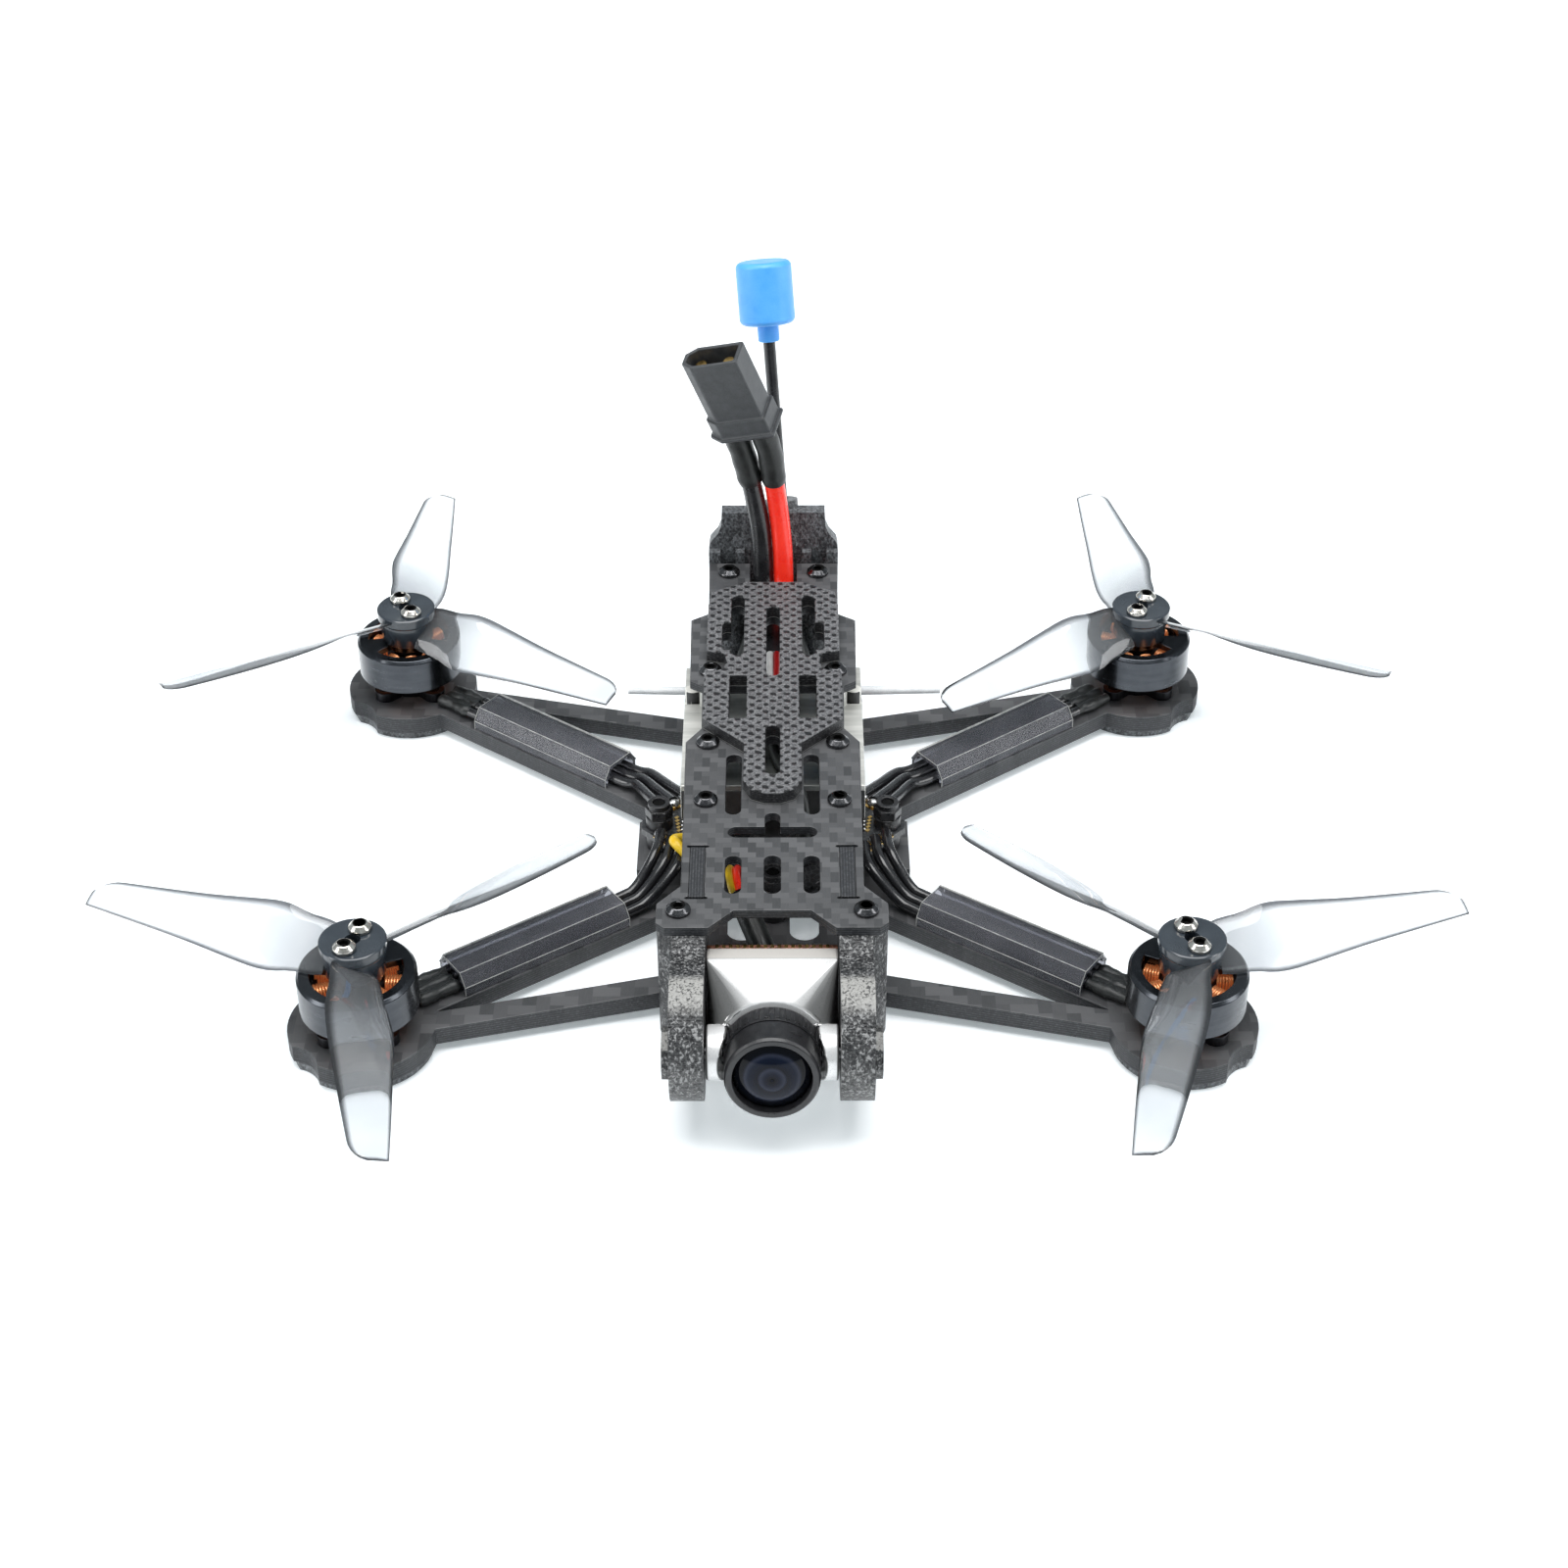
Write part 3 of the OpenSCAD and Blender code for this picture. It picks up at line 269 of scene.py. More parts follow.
def carbon(name, axes, tow=1.22):
    """Twill-woven carbon plate; axes picks the two coordinates that the weave follows."""
    g = Graph(name, IOR=1.5)
    xyz = g.axes()
    normals = g.facing()
    u = g.math("DIVIDE", xyz[axes[0]], tow)
    v = g.math("DIVIDE", xyz[axes[1]], tow)
    column, row = g.math("FLOOR", u), g.math("FLOOR", v)
    diagonal = g.math("DIVIDE", g.math("ADD", column, row), 4.0)
    weft = g.math("LESS_THAN", g.math("FRACT", diagonal), 0.45)
    # Each float of a tow has its own shade
    lane = g.math("ADD", g.math("MULTIPLY", row, weft),
                  g.math("MULTIPLY", g.math("ADD", column, 71.3), g.math("SUBTRACT", 1.0, weft)))
    float_number = g.math("FLOOR", diagonal)
    cell = g.tree.nodes.new("ShaderNodeTexWhiteNoise")
    cell.noise_dimensions = "2D"
    joined = g.tree.nodes.new("ShaderNodeCombineXYZ")
    g.put(joined.inputs[0], lane)
    g.put(joined.inputs[1], float_number)
    g.put(cell.inputs["Vector"], joined.outputs[0])
    along = [1.0, 1.0, 1.0]
    across = [1.0, 1.0, 1.0]
    along[axes[0]], across[axes[1]] = 0.12, 0.12
    streak_u = g.noise(7.0, 2.0, tuple(along))
    streak_v = g.noise(7.0, 2.0, tuple(across))
    streak = g.tree.nodes.new("ShaderNodeMix")
    g.put(streak.inputs[0], weft)
    g.put(streak.inputs[2], streak_v)
    g.put(streak.inputs[3], streak_u)
    streaks = streak.outputs[0]
    level = g.math("ADD", g.math("MULTIPLY", weft, 0.34), g.math("MULTIPLY", streaks, 0.26))
    level = g.math("ADD", level, g.math("MULTIPLY", cell.outputs["Value"], 0.4))
    woven = g.ramp(level, (0.12, (0.036, 0.037, 0.039)), (0.9, (0.1, 0.1, 0.103)))
    crown_u = g.math("SINE", g.math("MULTIPLY", g.math("FRACT", v), math.pi))
    crown_v = g.math("SINE", g.math("MULTIPLY", g.math("FRACT", u), math.pi))
    crown = g.tree.nodes.new("ShaderNodeMix")
    g.put(crown.inputs[0], weft)
    g.put(crown.inputs[2], crown_v)
    g.put(crown.inputs[3], crown_u)
    height = g.math("ADD", crown.outputs[0], g.math("MULTIPLY", streaks, 0.35))
    # The cut edge shows the plies as thin lines
    third = 3 - axes[0] - axes[1]
    ply = g.math("SINE", g.math("MULTIPLY", xyz[third], 2 * math.pi / 0.42))
    fray = g.noise(3.0, 4.0, (1, 1, 1))
    edge_level = g.math("ADD", g.math("MULTIPLY", ply, 0.22), fray)
    edge = g.ramp(edge_level, (0.3, (0.01, 0.011, 0.013)), (0.7, (0.03, 0.032, 0.036)),
                  (0.9, (0.07, 0.072, 0.078)))
    cut = g.math("LESS_THAN", g.math("ABSOLUTE", normals[third]), 0.6)
    colour = g.mix(cut, woven, edge)
    rough = g.math("ADD", g.ranged(level, 0.46, 0.33), g.math("MULTIPLY", cut, 0.14))
    face_height = g.math("MULTIPLY", height, g.math("SUBTRACT", 1.0, cut))
    cut_height = g.math("MULTIPLY", edge_level, cut)
    normal = g.bump(face_height, 0.016, 0.5)
    normal = g.bump(cut_height, 0.08, 0.6, normal)
    return g.finish(colour, rough, normal)


def printed(name, dark, middle, light, cheek=False):
    """Black printed rubber: black and pale print grain over fine layers; on the cheeks also a
    painted highlight and painted shade round the end.
    """
    g = Graph(name, IOR=1.5)
    x, y, z = g.axes()
    layer = g.math("SINE", g.math("MULTIPLY", z, 2 * math.pi / 0.3))
    grit = g.noise(2.4, 2.0, (1, 1, 0.7), 0.6)
    patch = g.noise(0.3, 3.0)
    level = g.math("ADD", grit, g.math("MULTIPLY", g.math("SUBTRACT", patch, 0.5), 0.35))
    colour = g.ramp(level, (0.4, dark), (0.47, middle), (0.55, middle), (0.64, light))
    if cheek:
        # Painted highlight where the round end turns up, painted shade just below that
        nx, ny, nz = g.facing()
        turn = g.math("ARCTAN2", g.math("MULTIPLY", ny, -1.0), nz)
        painted_sheen = g.ramp(g.ranged(turn, 0.0, 1.0, -0.4, 2.2), (0.0, (0.2, 0.2, 0.2)),
                      (0.14, (1, 1, 1)), (0.3, (0.85, 0.85, 0.85)), (0.38, (0.0, 0.0, 0.0)),
                      (0.6, (0.0, 0.0, 0.0)), (0.75, (0.12, 0.12, 0.12)))
        painted_sheen = g.axes(painted_sheen)[0]
        ended = g.math("MULTIPLY", g.ranged(y, 1.0, 0.0, -60.5, -59.0),
                       g.math("LESS_THAN", g.math("ABSOLUTE", nx), 0.5))
        spread = g.ranged(level, 0.15, 1.0, 0.36, 0.5)
        amount = g.math("MULTIPLY", g.math("MULTIPLY", painted_sheen, ended), spread)
        colour = g.mix(amount, colour, (0.33, 0.325, 0.31))
    height = g.math("ADD", level, g.math("MULTIPLY", layer, 0.06))
    return g.finish(colour, g.ranged(grit, 0.3, 0.5, 0.3, 0.7), g.bump(height, 0.3, 0.9))


def knurled(name):
    """Black rubber: a net of worn ridges round pits painted dark as shade in their hollows on top,
    streaks on the sides.
    """
    g = Graph(name, IOR=1.48)
    x, y, z = g.axes()
    grit = g.noise(3.6, 4.0)
    drift = g.math("MULTIPLY", g.math("SUBTRACT", g.noise(0.9, 2.0), 0.5), 0.9)
    across = g.math("COSINE", g.math("MULTIPLY", g.math("ADD", x, drift), math.pi / 1.12))
    along = g.math("COSINE", g.math("MULTIPLY", g.math("SUBTRACT", y, drift), math.pi / 1.02))
    lattice = g.math("MULTIPLY", across, along)
    # The pits are painted dark: painted shade in the hollows that the bump dents
    pit = g.ranged(lattice, 0.0, 1.0, 0.2, 0.72)
    level = g.math("ADD", g.math("MULTIPLY", pit, -0.8), g.math("MULTIPLY", grit, 0.9))
    top = g.ramp(level, (-0.1, (0.006, 0.006, 0.007)), (0.2, (0.04, 0.04, 0.042)),
                 (0.42, (0.088, 0.088, 0.092)), (0.62, (0.2, 0.2, 0.205)))
    layers = g.math("SINE", g.math("MULTIPLY", z, 2 * math.pi / 0.35))
    streak = g.math("ADD", g.noise(2.2, 4.0, (1, 1, 3)), g.math("MULTIPLY", layers, 0.08))
    side = g.ramp(streak, (0.4, (0.006, 0.006, 0.007)), (0.6, (0.03, 0.03, 0.032)),
                  (0.75, (0.12, 0.12, 0.12)))
    foot = g.math("LESS_THAN", z, 26.72)
    side = g.mix(foot, side, (0.26, 0.26, 0.25))
    high = g.math("GREATER_THAN", z, 28.5)
    colour = g.mix(high, side, top)
    relief = g.math("SUBTRACT", g.math("MULTIPLY", grit, 0.3),
                    g.math("MULTIPLY", g.math("MULTIPLY", pit, high), 1.0))
    return g.finish(colour, g.ranged(grit, 0.36, 0.55, 0.3, 0.7), g.bump(relief, 0.3, 0.8))


def brushed(name, dark, light, rough, scale=2.0, depth=0.01, stretch=(1, 1, 0.15), **constants):
    """Turned or rolled metal with fine marks along it."""
    g = Graph(name, Metallic=1.0, **constants)
    marks = g.noise(scale, 4.0, stretch)
    cloud = g.noise(0.5, 3.0)
    level = g.math("ADD", g.math("MULTIPLY", marks, 0.6), g.math("MULTIPLY", cloud, 0.4))
    colour = g.ramp(level, (0.3, dark), (0.7, light))
    return g.finish(colour, g.ranged(level, rough[0], rough[1], 0.3, 0.7),
                    g.bump(marks, depth, 0.5))


def worn_lid(name):
    """Grey lid of the video transmitter, pale along its two long edges."""
    g = Graph(name, Metallic=0.5)
    x = g.axes()[0]
    marks = g.noise(1.0, 4.0, (0.1, 1, 1))
    colour = g.ramp(marks, (0.3, (0.2, 0.21, 0.2)), (0.7, (0.34, 0.35, 0.34)))
    pale = g.ramp(marks, (0.3, (0.6, 0.6, 0.56)), (0.7, (0.8, 0.79, 0.75)))
    edge = g.math("GREATER_THAN", g.math("ABSOLUTE", x), 11.5)
    return g.finish(g.mix(edge, colour, pale), g.ranged(marks, 0.38, 0.5, 0.3, 0.7),
                    g.bump(marks, 0.01, 0.5))


def satin_silver(name):
    """Satin paint on the camera's case, with painted shade down its sides and a pale band round
    its rear edge.
    """
    g = Graph(name, IOR=1.5, Coat_Weight=0.3, Coat_Roughness=0.2)
    cloud = g.noise(0.3, 3.0)
    fleck = g.noise(9.0, 2.0)
    level = g.math("ADD", g.math("MULTIPLY", cloud, 0.5), g.math("MULTIPLY", fleck, 0.5))
    colour = g.ramp(level, (0.3, (0.84, 0.835, 0.825)), (0.7, (0.95, 0.945, 0.94)))
    out = g.lens_frame()[2]
    nx = g.facing()[0]
    # Painted shade: the sides darken the more they face sideways
    flank_shade = g.ranged(g.math("ABSOLUTE", nx), 0.0, 0.85, 0.12, 0.55)
    colour = g.mix(flank_shade, colour, (0.13, 0.135, 0.135))
    band = g.math("LESS_THAN", out, -9.9)
    seam = g.math("LESS_THAN", g.math("ABSOLUTE", g.math("ADD", out, 9.85)), 0.12)
    colour = g.mix(band, colour, (0.46, 0.44, 0.415))
    colour = g.mix(g.math("MULTIPLY", seam, 0.5), colour, (0.2, 0.2, 0.2))
    return g.finish(colour, g.ranged(fleck, 0.26, 0.36, 0.3, 0.7), g.bump(fleck, 0.01, 0.5),
                    g.ranged(band, 0.35, 0.0))


def pale_case(name):
    """Pale case sides with rubbed edges; the front wall painted near black as shade."""
    g = Graph(name, IOR=1.5)
    ny = g.facing()[1]
    cloud = g.noise(0.5, 4.0)
    fleck = g.noise(6.0, 3.0)
    level = g.math("ADD", g.math("MULTIPLY", cloud, 0.5), g.math("MULTIPLY", fleck, 0.5))
    side = g.ramp(level, (0.3, (0.66, 0.65, 0.6)), (0.7, (0.86, 0.85, 0.8)))
    # Painted shade: the wall facing forward is coloured near black
    front = g.ramp(level, (0.3, (0.02, 0.021, 0.021)), (0.7, (0.05, 0.05, 0.05)))
    colour = g.mix(g.math("LESS_THAN", ny, -0.6), side, front)
    return g.finish(colour, g.ranged(fleck, 0.4, 0.55, 0.3, 0.7), g.bump(fleck, 0.02, 0.5))


def smoke(name, colours, rough, transmission, ior, rim_shade=None):
    """Smoky see-through plastic with faint flow marks, darker where the mesh marks it: painted
    shade in place of the dark edges that refraction gives.
    """
    g = Graph(name, Transmission_Weight=transmission, IOR=ior)
    flow = g.noise(0.12, 2.0, (1, 1, 0.4))
    fine = g.noise(1.5, 2.0)
    colour = g.ramp(flow, (0.3, colours[0]), (0.7, colours[1]))
    if rim_shade:
        edge = g.tree.nodes.new("ShaderNodeAttribute")
        edge.attribute_name = "rim_shade"
        colour = g.mix(edge.outputs["Fac"], colour, rim_shade)
    return g.finish(colour, g.ranged(fine, rough[0], rough[1], 0.3, 0.7),
                    g.bump(fine, 0.002, 0.3))


def lens_glass(name):
    """Coated front glass: dark rings that lie round the lens axis, under a clear gloss."""
    g = Graph(name, IOR=1.38, Coat_Weight=0.08, Coat_Roughness=0.02, Specular_IOR_Level=0.2)
    x, rise, _out = g.lens_frame()
    radius = g.math("SQRT", g.math("ADD", g.math("MULTIPLY", x, x),
                                   g.math("MULTIPLY", rise, rise)))
    tint = g.noise(0.35, 2.0)
    near = g.math("DIVIDE", g.math("ADD", radius, g.math("MULTIPLY", tint, 0.25)), 6.2)
    colour = g.ramp(near, (0.0, (0.03, 0.035, 0.05)), (0.06, (0.001, 0.001, 0.002)),
                    (0.2, (0.003, 0.005, 0.014)), (0.3, (0.02, 0.024, 0.04)),
                    (0.36, (0.001, 0.002, 0.006)), (0.56, (0.003, 0.006, 0.016)),
                    (0.64, (0.022, 0.026, 0.042)), (0.7, (0.001, 0.002, 0.005)),
                    (0.95, (0.003, 0.003, 0.004)))
    return g.finish(colour, g.ranged(tint, 0.03, 0.07, 0.3, 0.7))


def circuit(name, dark, light):
    """Solder mask with copper tracks just showing as raised lines."""
    g = Graph(name, IOR=1.5, Coat_Weight=0.4, Coat_Roughness=0.15)
    distance = g.cells(0.9, "F2")
    near = g.cells(0.9, "F1")
    track = g.math("LESS_THAN", g.math("SUBTRACT", distance, near), 0.1)
    cloud = g.noise(1.5, 3.0)
    colour = g.mix(g.math("MULTIPLY", track, 0.6), g.ramp(cloud, (0.3, dark), (0.7, light)),
                   tuple(min(1, 2.2 * c + 0.02) for c in light))
    return g.finish(colour, g.ranged(cloud, 0.28, 0.45, 0.3, 0.7), g.bump(track, 0.03, 0.5))


def wound_copper(name):
    """Enamelled copper with a faint painted glow, so that it shows in the bell's dark windows."""
    # Painted light: the emission makes the coils glow, though they are no lamp
    g = Graph(name, Metallic=0.8, Coat_Weight=0.6, Coat_Roughness=0.1,
              Emission_Color=(1.0, 0.3, 0.1, 1), Emission_Strength=0.1)
    strand = g.noise(1.6, 3.0)
    fine = g.noise(7.0, 2.0)
    colour = g.ramp(strand, (0.3, (0.8, 0.27, 0.09)), (0.7, (1.0, 0.52, 0.24)))
    return g.finish(colour, g.ranged(fine, 0.22, 0.38, 0.3, 0.7), g.bump(fine, 0.01, 0.5))


def laminated(name):
    """Stator steel: thin sheets stacked along the motor's axis."""
    g = Graph(name, Metallic=0.85)
    z = g.axes()[2]
    sheet = g.math("SINE", g.math("MULTIPLY", z, 2 * math.pi / 0.24))
    stain = g.noise(1.0, 3.0)
    level = g.math("ADD", g.math("MULTIPLY", sheet, 0.2), stain)
    colour = g.ramp(level, (0.25, (0.02, 0.02, 0.022)), (0.75, (0.16, 0.16, 0.17)))
    return g.finish(colour, g.ranged(stain, 0.35, 0.55, 0.3, 0.7), g.bump(sheet, 0.03, 0.6))


def floor_paper(name):
    """White paper that lifts its own shadows a little."""
    g = Graph(name, IOR=1.4, Emission_Color=(0.88, 0.97, 1.0, 1), Emission_Strength=0.28,
              Specular_IOR_Level=0.2)
    cloud = g.noise(0.01, 2.0)
    fibre = g.noise(1.2, 4.0)
    colour = g.ramp(cloud, (0.3, (0.86, 0.875, 0.89)), (0.7, (0.88, 0.89, 0.9)))
    return g.finish(colour, g.ranged(fibre, 0.85, 0.95, 0.3, 0.7), g.bump(fibre, 0.01, 0.2))


# Moulded and painted surfaces: two colours, roughness range, cloud and fleck scale, depth
GRAINS = {
    "black_chip": ((0.012, 0.012, 0.013), (0.04, 0.04, 0.042), (0.4, 0.6), 1.2, 8.0, 0.02),
    "black_nylon": ((0.008, 0.008, 0.009), (0.024, 0.024, 0.026), (0.22, 0.4), 0.8, 5.0, 0.03),
    "button_cap": ((0.6, 0.56, 0.48), (0.8, 0.77, 0.7), (0.35, 0.5)),
    "white_sleeve": ((0.6, 0.62, 0.63), (0.8, 0.81, 0.82), (0.4, 0.55)),
    "black_cable": ((0.006, 0.006, 0.007), (0.016, 0.016, 0.018), (0.16, 0.3), 0.5, 3.0, 0.02),
    "blue_plastic": ((0.06, 0.32, 0.8), (0.1, 0.4, 0.9), (0.3, 0.42), 0.4, 6.0, 0.01),
    "capacitor_sleeve": ((0.008, 0.008, 0.009), (0.03, 0.03, 0.034), (0.25, 0.4)),
    "red_silicone": ((0.9, 0.02, 0.012), (1.0, 0.045, 0.02), (0.22, 0.36), 0.35, 3.0, 0.02),
    "red_wire": ((0.35, 0.005, 0.006), (0.5, 0.012, 0.012), (0.25, 0.4), 0.5, 4.0, 0.01),
    "black_silicone": ((0.006, 0.006, 0.007), (0.02, 0.02, 0.022), (0.2, 0.34), 0.35, 3.0, 0.02),
    "heat_shrink": ((0.007, 0.008, 0.008), (0.022, 0.024, 0.023), (0.3, 0.48), 0.5, 4.0, 0.05),
    "connector_nylon": ((0.028, 0.03, 0.033), (0.055, 0.058, 0.062), (0.35, 0.5), 0.7, 5.0, 0.03),
    "yellow_wire": ((0.75, 0.45, 0.01), (0.9, 0.62, 0.03), (0.3, 0.42)),
    "white_wire": ((0.65, 0.65, 0.64), (0.85, 0.85, 0.84), (0.35, 0.5)),
    # Painted highlight colour for the clear covers' edges
    "cover_edge": ((0.24, 0.24, 0.24), (0.5, 0.5, 0.47), (0.2, 0.35)),
    "lens_black": ((0.006, 0.006, 0.007), (0.02, 0.02, 0.022), (0.26, 0.42), 0.8, 6.0, 0.03),
    # Near-black lining of screw sockets: painted shade
    "socket_black": ((0.001, 0.001, 0.001), (0.004, 0.004, 0.004), (0.5, 0.7), 1.0, 6.0, 0.01),
    "prop_hub": ((0.022, 0.028, 0.036), (0.036, 0.045, 0.055), (0.12, 0.22), 0.3, 5.0, 0.006),
}

# Metals: two colours, roughness range, then scale, depth and stretch of their marks
METALS = {
    "black_aluminium": ((0.02, 0.02, 0.022), (0.05, 0.05, 0.055), (0.3, 0.42)),
    "black_screw": ((0.05, 0.05, 0.054), (0.13, 0.13, 0.135), (0.14, 0.26)),
    "dark_screw": ((0.06, 0.06, 0.065), (0.15, 0.15, 0.155), (0.16, 0.3)),
    "nickel_screw": ((0.5, 0.46, 0.4), (0.82, 0.8, 0.76), (0.14, 0.26)),
    "connector_steel": ((0.5, 0.5, 0.5), (0.78, 0.78, 0.78), (0.2, 0.34)),
    "gold_contact": ((0.7, 0.42, 0.12), (0.95, 0.68, 0.28), (0.16, 0.3)),
    "bearing_steel": ((0.45, 0.45, 0.45), (0.7, 0.7, 0.7), (0.12, 0.24)),
    "bell_black": ((0.034, 0.038, 0.045), (0.06, 0.066, 0.075), (0.2, 0.3), 1.2, 0.006,
                   (0.1, 0.1, 1)),
}

# Circuit boards: two colours of the solder mask
BOARDS = {
    "black_board": ((0.008, 0.009, 0.01), (0.02, 0.021, 0.023)),
    "green_board": ((0.01, 0.05, 0.02), (0.02, 0.09, 0.035)),
    "blue_board": ((0.008, 0.02, 0.06), (0.015, 0.035, 0.11)),
    "brown_board": ((0.05, 0.02, 0.012), (0.11, 0.045, 0.025)),
}

# Further shader constants of some of the surfaces above
EXTRAS = {
    "black_cable": dict(Coat_Weight=0.3, Coat_Roughness=0.15),
    # The red lead's emission is painted light: it glows, though it is no lamp
    "red_silicone": dict(Coat_Weight=0.25, Coat_Roughness=0.2,
                         Emission_Color=(1.0, 0.03, 0.012, 1), Emission_Strength=0.16),
    "black_silicone": dict(Coat_Weight=0.25, Coat_Roughness=0.2),
    "bell_black": dict(Coat_Weight=0.35, Coat_Roughness=0.14),
    "socket_black": dict(Specular_IOR_Level=0.1),
    "prop_hub": dict(Coat_Weight=0.3, Coat_Roughness=0.08),
}


def make_materials():
    made = {
        "carbon_fibre": carbon("carbon_fibre", (0, 1)),
        "carbon_arm": carbon("carbon_arm", (0, 1), 2.1),
        "carbon_side": carbon("carbon_side", (1, 2)),
        "printed_tpu": printed("printed_tpu", (0.03, 0.031, 0.033), (0.09, 0.095, 0.1),
                               (0.18, 0.19, 0.2)),
        "cheek_tpu": printed("cheek_tpu", (0.003, 0.003, 0.004), (0.034, 0.035, 0.036),
                             (0.24, 0.24, 0.24), True),
        "black_rubber": knurled("black_rubber"),
        "lid_aluminium": worn_lid("lid_aluminium"),
        "stator_steel": laminated("stator_steel"),
        "copper_wire": wound_copper("copper_wire"),
        "clear_cover": smoke("clear_cover", ((0.3, 0.305, 0.34), (0.42, 0.425, 0.46)),
                             (0.06, 0.12), 0.84, 1.22),
        "camera_silver": satin_silver("camera_silver"),
        "lens_glass": lens_glass("lens_glass"),
        "prop_smoke": smoke("prop_smoke", ((0.74, 0.765, 0.79), (0.84, 0.855, 0.87)),
                            (0.02, 0.05), 0.88, 1.46, (0.08, 0.085, 0.095)),
        "case_pale": pale_case("case_pale"),
    }
    for build, table in ((grain, GRAINS), (brushed, METALS), (circuit, BOARDS)):
        for name, values in table.items():
            made[name] = build(name, *values, **EXTRAS.get(name, {}))
    return made


# ---------- piece building ----------


def settle(piece, body, slot, replaces=(), material=None):
    """Gives a new piece its body and its finish, and hides the CAD nodes that it stands for."""
    if replaces:
        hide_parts(*replaces)
    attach(piece, body)
    piece.data.materials.clear()
    piece.data.materials.append(MATERIALS[material or slot])
    return piece


def new_piece(name, bm, smooth_angle=None):
    mesh = bpy.data.meshes.new(name)
    bmesh.ops.recalc_face_normals(bm, faces=bm.faces)
    bm.to_mesh(mesh)
    bm.free()
    piece = bpy.data.objects.new(name, mesh)
    bpy.context.scene.collection.objects.link(piece)
    if smooth_angle is None:
        mesh.shade_smooth()
    else:
        smooth_by_angle(mesh, smooth_angle)
    return piece


def smooth_by_angle(mesh, angle):
    mesh.shade_smooth()
    bm = bmesh.new()
    bm.from_mesh(mesh)
    limit = math.radians(angle)
    for edge in bm.edges:
        edge.smooth = not (
            len(edge.link_faces) != 2 or edge.calc_face_angle(0) > limit
        )
    bm.to_mesh(mesh)
    bm.free()


# Printed pieces with narrow facets, where a full bevel would shoot past a neighbour
CLAMPED = ("rear_mount", "camera_mount_left", "camera_mount_right")
# Pieces whose flat faces must keep their triangles
KEPT_TRIANGLES = CLAMPED + ("camera_body",)


def refine(node, bevel=0.12, segments=2, material=None, angle=32):
    """Copies a CAD node as a clean mesh with rounded edges, to stand for the node."""
    bm = bmesh.new()
    bm.from_mesh(NODES[node].data)
    bmesh.ops.remove_doubles(bm, verts=bm.verts, dist=2e-6)
    if bevel and node not in KEPT_TRIANGLES:
        bmesh.ops.dissolve_limit(bm, angle_limit=math.radians(0.4), verts=bm.verts,
                                 edges=bm.edges)
    piece = new_piece(node + "_detail", bm, angle)
    if bevel:
        mod = piece.modifiers.new("rounded", "BEVEL")
        mod.width = bevel * MM
        mod.segments = segments
        mod.limit_method = "ANGLE"
        mod.angle_limit = math.radians(angle)
        mod.use_clamp_overlap = node in CLAMPED
        mod.harden_normals = True
        mod.miter_outer = "MITER_ARC"
        even = piece.modifiers.new("even", "WEIGHTED_NORMAL")
        even.keep_sharp = True
        even.weight = 100
    return settle(piece, BODY[node], SLOT[node], (node,), material)


def curve_points(points, step=1.0):
    """A smooth path through the points, in even steps."""
    p = [Vector(q) for q in points]
    ends = [2 * p[0] - p[1]] + p + [2 * p[-1] - p[-2]]
    fine = []
    for i in range(1, len(ends) - 2):
        a, b, c, d = ends[i - 1:i + 3]
        for k in range(24):
            t = k / 24
            fine.append(0.5 * (2 * b + (c - a) * t + (2 * a - 5 * b + 4 * c - d) * t * t
                               + (3 * b - a - 3 * c + d) * t ** 3))
    fine.append(p[-1])
    total = sum((b - a).length for a, b in zip(fine, fine[1:]))
    count = max(2, round(total / step))
    out, walked, target = [fine[0]], 0.0, total / count
    for a, b in zip(fine, fine[1:]):
        length = (b - a).length
        while walked + length >= target - 1e-9 and len(out) < count:
            out.append(a.lerp(b, (target - walked) / length if length else 0))
            target += total / count
        walked += length
    out.append(fine[-1])
    return out


def add_circle(bm, centre, radius, side, other, sides):
    """A ring of new points in the plane of side and other."""
    return [
        bm.verts.new((centre + radius * (math.cos(t) * side + math.sin(t) * other)) * MM)
        for t in (2 * math.pi * k / sides for k in range(sides))
    ]


def skin(bm, rings):
    """Joins each ring of points to the next one with a band of faces."""
    for a, b in zip(rings, rings[1:]):
        n = len(a)
        for k in range(n):
            bm.faces.new((a[k], a[(k + 1) % n], b[(k + 1) % n], b[k]))


def add_tube(bm, path, radius, sides=12, lump=None):
    """Adds a closed round tube along the path; lump(s) scales its radius at s from 0 to 1."""
    side = Vector((0, 0, 1))
    rings = []
    for i, point in enumerate(path):
        ahead = (path[min(i + 1, len(path) - 1)] - path[max(i - 1, 0)]).normalized()
        side = (side - ahead * side.dot(ahead))
        side = side.normalized() if side.length > 1e-6 else ahead.orthogonal().normalized()
        other = ahead.cross(side)
        r = radius * (lump(i / (len(path) - 1)) if lump else 1)
        rings.append(add_circle(bm, point, r, side, other, sides))
    skin(bm, rings)
    bm.faces.new(rings[0][::-1])
    bm.faces.new(rings[-1])


